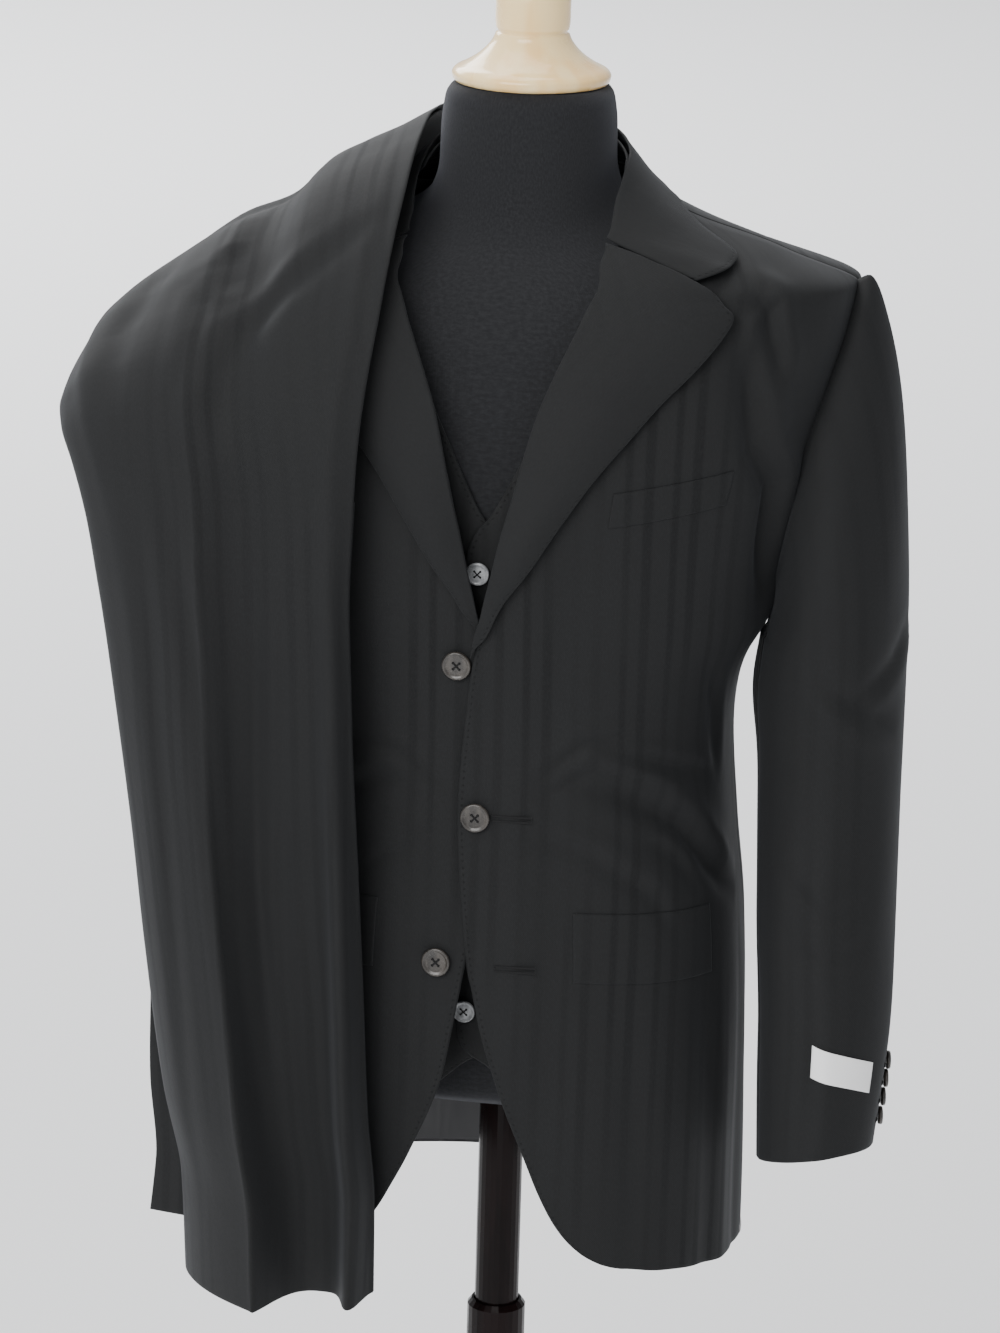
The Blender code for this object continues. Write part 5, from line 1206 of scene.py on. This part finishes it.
def disc_button(name, where, outward, diameter, thick, material, node, hole_shades=True, hole_at=0.17):
    """A button with a raised rim, a dished middle, four holes drawn as near-black discs of painted shade, and crossed
    thread.
    """
    r = diameter / 2
    n = outward / np.linalg.norm(outward)
    side = np.cross((0.0, 0.0, 1.0), n)
    side /= np.linalg.norm(side)
    up = np.cross(n, side)
    profile = [(0.78, 0.0), (0.93, 0.14), (0.99, 0.38), (1.0, 0.58), (0.985, 0.80), (0.95, 0.94), (0.90, 1.0), (0.85, 0.985),
               (0.79, 0.90), (0.74, 0.80), (0.66, 0.755), (0.50, 0.75), (0.30, 0.75), (0.12, 0.75)]
    sides = 44
    a = np.arange(sides) * 2 * np.pi / sides
    points, faces = [], []
    for share, height in profile:
        for k in range(sides):
            points.append(where + n * height * thick + r * share * (side * np.cos(a[k]) + up * np.sin(a[k])))
    for i in range(len(profile) - 1):
        for k in range(sides):
            m = (k + 1) % sides
            faces.append((i * sides + k, i * sides + m, (i + 1) * sides + m, (i + 1) * sides + k))
    faces.append(tuple(range(sides)))
    faces.append(tuple((len(profile) - 1) * sides + k for k in range(sides)))
    made = mesh_piece(name, points, faces, [material], sharp=60.0)
    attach(made, "figure")
    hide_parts(node)
    top = 0.75 * thick
    shade_spots, shade_spot_faces, threads, thread_faces = [], [], [], []
    # each hole is a thin near-black disc on the button's face: painted shade standing in for the hole's depth
    gap = hole_at * r * 1.25
    for du in (-1, 1):
        for dv in (-1, 1):
            centre = where + n * (top + 0.00004) + side * du * gap + up * dv * gap
            start = len(shade_spots)
            for depth in (0.0, 0.00012):
                for k in range(12):
                    b = 2 * np.pi * k / 12
                    shade_spots.append(centre + n * depth + 0.085 * diameter / 2 * 1.15 * (side * np.cos(b) + up * np.sin(b)))
            shade_spot_faces.append(tuple(start + k for k in range(12))[::-1])
            shade_spot_faces.append(tuple(start + 12 + k for k in range(12)))
            for k in range(12):
                m = (k + 1) % 12
                shade_spot_faces.append((start + k, start + m, start + 12 + m, start + 12 + k))
    for one, other in (((-1, -1), (1, 1)), ((-1, 1), (1, -1))):
        p0 = where + n * top + side * one[0] * gap + up * one[1] * gap
        p1 = where + n * top + side * other[0] * gap + up * other[1] * gap
        d = (p1 - p0) / np.linalg.norm(p1 - p0)
        w = np.cross(n, d)
        start, count = len(threads), 7
        for c in range(count):
            f = c / (count - 1)
            centre = p0 + (p1 - p0) * f + n * (0.00012 + 0.00060 * np.sin(np.pi * f))
            for k in range(8):
                b = 2 * np.pi * k / 8
                threads.append(centre + 0.036 * diameter / 2 * (w * 1.5 * np.cos(b) + n * np.sin(b)))
        for c in range(count - 1):
            for k in range(8):
                m = (k + 1) % 8
                thread_faces.append((start + c * 8 + k, start + c * 8 + m, start + (c + 1) * 8 + m, start + (c + 1) * 8 + k))
        thread_faces.append(tuple(start + k for k in range(8)))
        thread_faces.append(tuple(start + (count - 1) * 8 + k for k in range(8)))
    return made, (shade_spots, shade_spot_faces), (threads, thread_faces)


def gathered_piece(name, parts, material):
    points, faces = [], []
    for some_points, some_faces in parts:
        start = len(points)
        points += [tuple(p) for p in some_points]
        faces += [tuple(start + k for k in face) for face in some_faces]
    made = mesh_piece(name, points, faces, [material], sharp=60.0)
    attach(made, "figure")
    return made


def spread(low, high, count):
    return np.linspace(low, high, count)


FINE = 0.0034
COARSE = 0.0056


def rows_of(low, high, pitch):
    return spread(low, high, max(3, int(round((high - low) / pitch)) + 1))


def dense(rows, pitch):
    """Rows of a table with more rows between them, keeping each."""
    found = [rows[0]]
    for a, b in zip(rows[:-1], rows[1:]):
        n = max(1, int(np.ceil((b - a) / pitch)))
        found += list(a + (b - a) * np.arange(1, n + 1) / n)
    return found


# ---------- the form and the stand ----------
heights = np.concatenate([[0.815, 0.8165, 0.819], rows_of(0.823, 1.532, 0.006), [1.5350, 1.5380, 1.540]])
around = spread(-180, 180, 161)[:-1]
tuck = {0.815: -0.0100, 0.8165: -0.0062, 0.819: -0.0035, 0.823: -0.0012, 1.5350: -0.0004, 1.5380: -0.0018, 1.540: -0.0048}
shell = np.stack([ring_point(FORM, around, np.full(len(around), z), tuck.get(float(round(z, 4)), 0.0)) for z in heights])
shell[0, :, 2], shell[-1, :, 2] = 0.815, 1.540
ns = len(around)
faces = [(i * ns + k, i * ns + (k + 1) % ns, (i + 1) * ns + (k + 1) % ns, (i + 1) * ns + k) for i in range(len(heights) - 1) for k in range(ns)]
faces += [tuple(range(ns)), tuple((len(heights) - 1) * ns + k for k in range(ns))]
form = mesh_piece("form", shell.reshape(-1, 3), faces, [JERSEY], sharp=60.0)
layer = form.data.uv_layers.new(name="weave")
loops = np.empty(len(form.data.loops), np.int32)
form.data.loops.foreach_get("vertex_index", loops)
flat_u = np.tile(around / 360.0 * 0.9, len(heights))
flat_v = np.repeat(heights, ns)
layer.data.foreach_set("uv", np.stack([flat_u, flat_v], 1)[loops].astype(np.float32).ravel())
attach(form, "figure")
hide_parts("form_torso")

CAP_FOOT = 1.5403
lower = smoothed([(0.0545, CAP_FOOT + 0.0030), (0.0552, CAP_FOOT + 0.0062), (0.0533, CAP_FOOT + 0.0096), (0.0462, CAP_FOOT + 0.0134),
                  (0.0382, CAP_FOOT + 0.0184), (0.0316, CAP_FOOT + 0.0244), (0.0272, CAP_FOOT + 0.0304), (0.0256, CAP_FOOT + 0.0342)], 34)
ball = [(0.0260 * np.cos(b) if b > -0.30 else 0.0260 * np.cos(b), CAP_FOOT + 0.0600 + 0.0252 * np.sin(b)) for b in np.linspace(-1.08, 1.50, 40)]
ball = smoothed([(0.0240, CAP_FOOT + 0.0366), (0.0252, CAP_FOOT + 0.0378), (0.0260, CAP_FOOT + 0.0450), (0.0260, CAP_FOOT + 0.0560),
                 (0.0246, CAP_FOOT + 0.0660), (0.0212, CAP_FOOT + 0.0750), (0.0155, CAP_FOOT + 0.0815), (0.0080, CAP_FOOT + 0.0850), (0.0020, CAP_FOOT + 0.0855)], 40)
lathe("neck_cap", [(0.0505, CAP_FOOT), (0.0532, CAP_FOOT + 0.0010)] + lower + [(0.0240, CAP_FOOT + 0.0354)] + ball, 128, MAPLE, "form_neck_cap")
lathe("base", [(BASE_RADIUS - 0.004, 0.0), (BASE_RADIUS - 0.0012, 0.0012), (BASE_RADIUS, 0.004), (BASE_RADIUS, 0.0130), (BASE_RADIUS - 0.0014, 0.0170),
               (BASE_RADIUS - 0.0045, 0.0202), (BASE_RADIUS - 0.0090, BASE_THICK), (0.120, BASE_THICK + 0.0018), (0.060, BASE_THICK + 0.004),
               (0.046, BASE_THICK + 0.0082), (0.038, BASE_THICK + 0.0130), (0.034, BASE_THICK + 0.016)], 160, DARK, "stand_base", "stand")
for name in ("stand_tube", "stand_clamp_collar", "pole"):
    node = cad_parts[name]
    for given in node.material_slots:
        given.material = DARK

# ---------- the waistcoat ----------
def ring_weave(rings_table, side, places):
    """Stripes run upright: across is the length round the body from the front middle."""
    def made(s, v, outer):
        angle, z = places(s, v)
        return round_length(rings_table, angle, z), z
    return made


def vest_places(rows):
    def found(s, z):
        inner, out = along(rows, "angle", z), along(rows, "side", z)
        return inner + s * (out - inner), z + s * (along(rows, "side_z", z) - z)
    return found


def front_places(side):
    def found(s, z):
        inner = along(FRONT, "left" if side > 0 else "right", z)
        turn, drop = along(FRONT, "turn", z), along(FRONT, "drop", z)
        return inner + s * (along(ARMHOLE, "angle", turn) - 0.06 - inner), z + s * (along(ARMHOLE, "z", turn) - drop - z)
    return found


def back_places(s, z):
    inner = along(BACK, "centre", z)
    turn, drop = along(BACK, "turn", z), along(BACK, "drop", z)
    return inner + s * (along(ARMHOLE, "angle", turn) + 0.36 - inner), z + s * (along(ARMHOLE, "z", turn) - drop - z)


VEST_ROWS = [0.846, 0.858, 0.877, 0.90, 0.95, 1.01, 1.085, 1.16, 1.21, 1.24, 1.27, 1.302, 1.335, 1.36, 1.395, 1.425, 1.448, 1.460]
VEST_BACK_ROWS = [0.918, 0.97, 1.03, 1.10, 1.16, 1.195, 1.24, 1.29, 1.335, 1.37, 1.40, 1.42, 1.436, 1.448, 1.454, 1.460]
for side, name in ((1, "left"), (-1, "right")):
    cloth(f"waistcoat_front_{name}", lambda s, z, out, side=side: vest_point(side, VEST_FRONT, s, z, out), dense(VEST_ROWS, COARSE),
          spread(0, 1, 40), WAISTCOAT, [f"vest_front_{name}"], (SUIT, LINING), ring_weave(FORM_TABLE, side, vest_places(VEST_FRONT)), 0)
    cloth(f"waistcoat_back_{name}", lambda s, z, out, side=side: vest_point(side, VEST_BACK, s, z, out), dense(VEST_BACK_ROWS, 0.010),
          spread(0, 1, 26), WAISTCOAT, [f"vest_back_{name}"], (SATIN, LINING), ring_weave(FORM_TABLE, side, vest_places(VEST_BACK)), None, "satin")

hole_shades, threads = [], []
for k in range(6):
    z = 1.2240 - 0.0647 * k
    angle = -90.6 - 0.2 * k
    hung = 0.009 * (1 - step(0.850, 0.935, z))
    a, b = [ring_point(FORM, angle, z, WAISTCOAT_GAP + WAISTCOAT + 0.0036 + hung + more) for more in (0.0006 + 0.0010 * (k == 5), 0.01)]
    _, shade_spots, crossed = disc_button(f"waistcoat_button_{k + 1}", a, b - a, BUTTON_WAISTCOAT, 0.0030, PEARL, f"vest_button_{k + 1}", hole_at=0.20)
    hole_shades.append(shade_spots)
    threads.append(crossed)

# ---------- the jacket ----------
FRONT_ROWS = [0.7192, 0.7240, 0.7346, 0.7519, 0.78, 0.82, 0.865, 0.91, 0.96, 1.01, 1.04, 1.065, 1.10, 1.145, 1.1800,
              1.200, 1.232, 1.265, 1.30, 1.3328, 1.366, 1.4000, 1.430, 1.4500, 1.4660, 1.4760, 1.4815]
BACK_ROWS = [0.697, 0.76, 0.82, 0.88, 0.94, 1.00, 1.06, 1.12, 1.165, 1.19, 1.225, 1.27, 1.315, 1.36, 1.40, 1.435, 1.456,
             1.472, 1.4755, 1.4785, 1.4815]


def lapel_weave(s, v, outer):
    """On the facing the stripes run along the outer edge."""
    steps = np.concatenate([np.zeros((outer.shape[0], 1)), np.cumsum(np.linalg.norm(np.diff(outer, axis=1), axis=2), axis=1)], 1)
    down = np.concatenate([np.zeros((1, outer.shape[1])), np.cumsum(np.linalg.norm(np.diff(outer, axis=0), axis=2), axis=0)], 0)
    return steps[:, -1:] - steps + 0.009, down


def across_front(n):
    """Closer together by the front edge, where the cloth rounds off."""
    return np.concatenate([[0, 0.004, 0.012], spread(0.025, 1, n)])


def from_centre(s, v, outer):
    """The back is cut with its stripes straight down beside the centre seam."""
    run = np.concatenate([np.zeros((len(outer), 1)), np.cumsum(np.linalg.norm(np.diff(outer, axis=1), axis=2), axis=1)], 1)
    if abs(outer[:, -1, 0]).mean() < abs(outer[:, 0, 0]).mean():
        run = run[:, -1:] - run
    return run, outer[..., 2]


for side, name in ((1, "left"), (-1, "right")):
    cloth(f"front_{name}", lambda s, z, out, side=side: front_point(side, s, z, out), dense(FRONT_ROWS, FINE if side > 0 else 0.0046),
          across_front(84 if side > 0 else 60), SUITING, [f"jacket_front_{name}"], (SUIT, LINING),
          ring_weave(JACKET_TABLE, side, front_places(side)), 0, rests_on=("form", f"waistcoat_front_{name}"))
    cloth(f"back_{name}", lambda s, z, out, side=side: back_point(side, s, z, out), dense(BACK_ROWS, COARSE), spread(0, 1, 56), SUITING,
          [f"jacket_back_{name}"], (SUIT, LINING), from_centre, None, rests_on=("form", f"waistcoat_back_{name}"))
    rows = [1.166 if side > 0 else 1.180, 1.192, 1.207, 1.227, 1.255, 1.285, 1.315, 1.345, 1.37, 1.392, 1.418, 1.437, 1.4515]
    cloth(f"lapel_{name}", lambda s, z, out, side=side: lapel_point(side, s, z, out + LAPEL_WALL), dense(rows, 0.0036),
          spread(0, 1, 34), LAPEL_WALL, [f"jacket_lapel_{name}"], (SUIT_PLAIN,), lapel_weave, 1, held="folded", rests_on=(f"front_{name}",), rounded=0.30)
    downs = list(spread(0, 1, 40)) + list(spread(1, 2, 92 if side > 0 else 70))[1:]
    for part, low, high in (("upper", FORE_SEAM + 0.25, HIND_SEAM - 0.25), ("under", HIND_SEAM + 0.25, FORE_SEAM + 360 - 0.25)):
        cloth(f"sleeve_{name}_{part}", lambda s, v, out, side=side: sleeve_point(side, s, v, out), downs, spread(low, high, 56), SUITING,
              [f"jacket_sleeve_{name}_{part}"], (SUIT_SLEEVE, LINING),
              lambda s, v, outer: (np.radians(s) * 0.050, -0.37 * v), None, held="hung", rests_on=(f"front_{name}", f"back_{name}"))

cloth("collar_leaf", lambda s, at, out: leaf_point(at, s, out + LEAF_WALL), spread(0, 2, 181), spread(0, 1, 16), LEAF_WALL,
      ["jacket_collar_leaf"], (SUIT_PLAIN,), lambda s, v, outer: (v * 0.19, s * 0.04), 1, held="folded", rests_on=("back_left", "back_right"), rounded=0.30)
cloth("collar_stand", lambda s, at, out: stand_point(at, s, out), spread(0, 2, 121), spread(0, 1, 5), 0.0016,
      ["jacket_collar_stand"], (SUIT_PLAIN,), lambda s, v, outer: (v * 0.19, s * 0.04), None, held="folded", rests_on=("back_left", "back_right"))


def patch(side, angle_in, angle_out, top_in, top_out, height, lift=0.0010, wall=0.0018):
    def surface(s, v, more):
        angle = angle_in + s * (angle_out - angle_in)
        z = top_in + s * (top_out - top_in) - v * height
        return jacket_point(side, angle, z, lift + wall + more + front_lift(side, angle, z))

    def places(s, v, outer):
        angle = angle_in + s * (angle_out - angle_in)
        z = top_in + s * (top_out - top_in) - v * height
        return round_length(JACKET_TABLE, angle, z), z
    return surface, places


# a welt lies flat: its lift is half that of the CAD's block
surface, places = patch(1, -70.0, -43.0, 1.2868, 1.3012, 0.024, 0.0001, 0.0008)
cloth("breast_welt", lambda s, v, out: surface(v, s, out), spread(0, 1, 60), spread(0, 1, 14), 0.0008, ["jacket_breast_welt"], (SUIT,),
      lambda s, v, outer: places(v, s, outer), None, held="laid", rests_on=("front_left",), rounded=0.30)
for side, name in ((1, "left"), (-1, "right")):
    surface_f, places_f = patch(side, -70.5, -24.0, 0.984, 0.978, 0.050, 0.0001, 0.0009)
    cloth(f"flap_{name}", lambda s, v, out, surface_f=surface_f: surface_f(s, v, out), spread(0, 1, 18), spread(0, 1, 70), 0.0009,
          [f"jacket_flap_{name}"], (SUIT,), lambda s, v, outer, places_f=places_f: places_f(s, v, outer), None, held="laid",
          rests_on=(f"front_{name}",), rounded=0.30)

for number, side, angle, z, lift in ((1, -1, -87.0, 1.1592, 0.0), (2, 1, -90.0, 1.0510, OVERLAP_LIFT), (3, -1, -84.8, 0.9432, 0.0)):
    a, b = [jacket_point(side, angle, z, lift + more) for more in (0.0008, 0.010)]
    _, shade_spots, crossed = disc_button(f"front_button_{number}", a, b - a, BUTTON_JACKET, BUTTON_THICK, HORN, f"jacket_button_{number}")
    hole_shades.append(shade_spots)
    threads.append(crossed)
for side, name in ((1, "left"), (-1, "right")):
    for k in range(4):
        v = 1 + (ARMPIT - (0.8585 - 0.0142 * k)) / SLEEVE_LENGTH
        a, b = [sleeve_point(side, HIND_SEAM - 9.0, v, more) for more in (0.0008, 0.010)]
        _, shade_spots, crossed = disc_button(f"{name}_cuff_button_{k + 1}", a, b - a, BUTTON_CUFF, 0.0032, HORN, f"cuff_{name}_button_{k + 1}")
        hole_shades.append(shade_spots)
        threads.append(crossed)
# the discs of painted shade that stand for the buttons' holes
gathered_piece("button_hole_shade_spots", hole_shades, HOLE_SHADE)
gathered_piece("button_threads", threads, DARK_THREAD)


def label_point(s, v, out):
    turn = -93.0 + 60.0 * s
    down = 0.281 + 0.018 * s + 0.0245 * v
    return sleeve_point(1, turn, 1 + down / SLEEVE_LENGTH, 0.0005 + 0.0006 + out)


cloth("sleeve_label_cloth", label_point, spread(0, 1, 14), spread(0, 1, 40), 0.0005, ["sleeve_label"], (LABEL,), None, None, "label",
      held="laid", rests_on=("sleeve_left_upper",), rounded=0.30)

# ---------- worked buttonholes ----------
def buttonhole(place, start, end, count=26, wide=0.0017):
    """A purled slit: two close rows of raised thread joined at both ends. place(share 0-1 along, metres across) gives its points."""
    points, faces = [], []
    loop = []
    for k in range(count):
        loop.append((start + (end - start) * k / (count - 1), wide))
    for k in range(count):
        loop.append((end + (start - end) * k / (count - 1), -wide))
    sides = 7
    for along_it, across in loop:
        centre, n = place(along_it, across)
        for c in range(sides):
            b = 2 * np.pi * c / sides
            points.append(centre + n * (0.00045 * np.sin(b) + 0.0002) + np.array([0, 0, 0.00075]) * np.cos(b))
    total = len(loop)
    for k in range(total):
        m = (k + 1) % total
        for c in range(sides):
            d = (c + 1) % sides
            faces.append((k * sides + c, k * sides + d, m * sides + d, m * sides + c))
    return points, faces


worked = []


def on_front(side, angle, z, lift):
    def place(x, across):
        a = angle + x * 360.0 / 0.98
        p = jacket_point(side, a, z + across, lift)
        q = jacket_point(side, a, z + across, lift + 0.01)
        n = (q - p) / np.linalg.norm(q - p)
        return p, n
    return place


for angle, z in ((-88.0, 1.0510), (-86.8, 0.9432)):
    worked.append(buttonhole(on_front(1, angle, z, 0.0001 + float(front_lift(1, np.array(angle), np.array(z)))), 0.0, 0.021))


def on_lapel(x, across):
    z = 1.3905
    angle = -56.5 - x * 360.0 / 1.02
    at = z + across - 0.35 * x
    p = jacket_point(1, angle, at, LAPEL_LIFT + LAPEL_WALL + 0.0024)
    q = jacket_point(1, angle, at, LAPEL_LIFT + LAPEL_WALL + 0.012)
    return p, (q - p) / np.linalg.norm(q - p)


for side, name in ((1, "left"), (-1, "right")):
    for k in range(4):
        v = 1 + (ARMPIT - (0.8585 - 0.0142 * k)) / SLEEVE_LENGTH

        def place(x, across, side=side, v=v):
            turn = HIND_SEAM - 15.0 - x * 57.3 / 0.047
            p = sleeve_point(side, turn, v + across / SLEEVE_LENGTH, 0.0001)
            q = sleeve_point(side, turn, v + across / SLEEVE_LENGTH, 0.01)
            return p, (q - p) / np.linalg.norm(q - p)
        worked.append(buttonhole(place, 0.0, 0.012, 14, 0.0012))
gathered_piece("worked_buttonholes", worked, DARK_THREAD)

# ---------- the trousers ----------
LEG_ROWS = [0, 0.10, 0.20, 0.30, 0.40, 0.48, 0.55, 0.61, 0.67, 0.72, 0.77, 0.82, 0.86, 0.90, 0.935, 0.97, 1.01, 1.06, 1.12, BAND_AT - 0.0004]


def leg_weave(s, v, outer):
    """Across is measured from the pressed crease."""
    steps = np.concatenate([np.zeros((outer.shape[0], 1)), np.cumsum(np.linalg.norm(np.diff(outer, axis=1), axis=2), axis=1)], 1)
    down = np.concatenate([np.zeros((1, outer.shape[1])), np.cumsum(np.linalg.norm(np.diff(outer, axis=0), axis=2), axis=0)], 0)
    ridge = along(PRESSED, "share", v[:, 0])
    zero = np.array([np.interp(r, s[0], row) for r, row in zip(ridge, steps)])
    return steps - zero[:, None] + 0.0165, down


LEG_HELD = dict(held="draped")
cloth("trouser_front_leg_outer", lambda s, at, out: leg_front_outer(at, s, out), dense(LEG_ROWS, FINE),
      np.concatenate([[0, 0.006, 0.016], spread(0.03, 0.985, 74), [1.0]]), TROUSER, ["trouser_leg_a_outer"],
      (SUIT_TROUSER,), leg_weave, None, rests_on=("front_right", "sleeve_right_upper"), **LEG_HELD)
cloth("trouser_front_leg_inner", lambda s, at, out: leg_front_inner(at, s, out), dense([0, 0.10, 0.20, 0.30, 0.40, 0.48, 0.55, FORK_AT], 0.010),
      spread(0, 1, 26), TROUSER, ["trouser_leg_a_inner"], (SUIT_TROUSER,), None, None, rests_on=("front_right",), **LEG_HELD)
cloth("trouser_back_leg_outer", lambda s, at, out: leg_behind_outer(at, s, out), dense([HEM_BEHIND, 0.10, 0.17, 0.24, 0.33, 0.43, 0.52, FORK_AT], 0.006),
      spread(0, 1, 40), TROUSER, ["trouser_leg_b_outer"], (SUIT_TROUSER,), None, None, rests_on=("front_right", "sleeve_right_upper"), **LEG_HELD)
cloth("trouser_back_leg_inner", lambda s, at, out: leg_behind_inner(at, s, out), dense([HEM_BEHIND, 0.10, 0.17] + LEG_ROWS[2:], 0.008),
      spread(0, 1, 40), TROUSER, ["trouser_leg_b_inner"], (SUIT_TROUSER,), None, None, rests_on=("front_right", "sleeve_right_upper"), **LEG_HELD)
cloth("waistband_outer", lambda s, at, out: leg_front_outer(at, s, out + 0.0010), spread(BAND_AT, WAIST_AT, 14), spread(0, 1, 60), 0.0025,
      ["trouser_waistband_outer"], (SUIT_TROUSER,), None, None, rests_on=("back_right",), **LEG_HELD)
cloth("waistband_inner", lambda s, at, out: leg_behind_inner(at, s, out), spread(BAND_AT, WAIST_AT, 14), spread(0, 1, 60), TROUSER,
      ["trouser_waistband_inner"], (SUIT_TROUSER,), None, None, rests_on=("back_right",), **LEG_HELD)
for k, share in enumerate((0.12, 0.42, 0.80)):
    cloth(f"belt_loop_{k + 1}", lambda s, at, out, share=share: leg_front_outer(at, share + 0.042 * s, out + 0.0032),
          spread(BAND_AT - 0.004, WAIST_AT - 0.001, 14), spread(0, 1, 8), 0.0012, [f"trouser_belt_loop_{k + 1}"], (SUIT_TROUSER,), None, None,
          held="laid", rests_on=("waistband_outer",))
cloth("back_pocket_welt", lambda s, at, out: leg_front_outer(at, 0.36 + 0.50 * s, out + 0.0014), spread(1.128, 1.140, 7), spread(0, 1, 40), 0.0010,
      ["trouser_pocket_welt"], (SUIT_TROUSER,), None, None, held="laid", rests_on=("trouser_front_leg_outer",))

# ---------- floor, light and camera ----------
floor_mesh = bpy.data.meshes.new("floor")
floor_mesh.from_pydata([(-60, -60, -0.0005), (60, -60, -0.0005), (60, 60, -0.0005), (-60, 60, -0.0005)], [], [(0, 1, 2, 3)])
floor = bpy.data.objects.new("floor", floor_mesh)
bpy.context.scene.collection.objects.link(floor)
floor_look, floor_tree, floor_shader = nodes_of("floor_paper", (0.90, 0.905, 0.915), 0.9, 0.1)
floor_mesh.materials.append(floor_look)

world = bpy.data.worlds.new("studio")
bpy.context.scene.world = world
world.use_nodes = True
room = Graph(world.node_tree)
across = world.node_tree.nodes.new("ShaderNodeSeparateXYZ")
world.node_tree.links.new(world.node_tree.nodes.new("ShaderNodeTexCoord").outputs["Generated"], across.inputs[0])
world.node_tree.nodes["Background"].inputs["Color"].default_value = (0.97, 0.98, 1.0, 1)
seen = world.node_tree.nodes.new("ShaderNodeLightPath").outputs["Is Camera Ray"]
round_about = room.math("MULTIPLY", room.span(across.outputs["X"], -0.9, 0.9, 1.18, 0.60), room.math("SUBTRACT", 1.0, seen))
world.node_tree.links.new(room.math("ADD", round_about, room.math("MULTIPLY", seen, 1.12)), world.node_tree.nodes["Background"].inputs["Strength"])


def area_light(name, place, target, size_x, size_y, power, colour=(1, 1, 1)):
    data = bpy.data.lights.new(name, "AREA")
    data.shape, data.size, data.size_y, data.energy, data.color = "RECTANGLE", size_x, size_y, power, colour
    lamp = bpy.data.objects.new(name, data)
    bpy.context.scene.collection.objects.link(lamp)
    lamp.location = place
    lamp.rotation_mode = "QUATERNION"
    lamp.rotation_quaternion = (Vector(target) - Vector(place)).to_track_quat("-Z", "Y")
    return lamp


area_light("key", (-1.0, -3.3, 3.1), (-0.05, 0, 1.25), 2.6, 2.2, 124, (1.0, 0.99, 0.98))
area_light("top", (-0.5, 0.3, 3.6), (0, 0, 1.5), 1.8, 1.6, 30, (1.0, 0.99, 0.97))
area_light("backdrop", (-5.0, 7.5, 5.5), (-2.2, 7.5, 0.0), 6.0, 6.0, 900, (1.0, 1.0, 1.0))

YAW, PITCH, ROLL, REACH = np.radians(10.0), np.radians(16.0), np.radians(1.6), 3.5
right = np.array([np.cos(YAW), np.sin(YAW), 0.0])
behind = np.array([np.sin(YAW) * np.cos(PITCH), -np.cos(YAW) * np.cos(PITCH), np.sin(PITCH)])
upward = np.cross(behind, right)
turned_right = right * np.cos(ROLL) + upward * np.sin(ROLL)
turned_up = upward * np.cos(ROLL) - right * np.sin(ROLL)
aim = -0.0104 * right + np.array([0.0, 0.0, 1.12])
camera_data = bpy.data.cameras.new("camera")
camera_data.sensor_width, camera_data.lens, camera_data.clip_end = 36.0, 36.0 * 4900.0 / 1333.0, 200.0
camera = bpy.data.objects.new("camera", camera_data)
bpy.context.scene.collection.objects.link(camera)
camera.matrix_world = Matrix([
    (*[float(a) for a in (turned_right[k], turned_up[k], behind[k], aim[k] + REACH * behind[k])],) for k in range(3)] + [(0.0, 0.0, 0.0, 1.0)])
bpy.context.scene.camera = camera
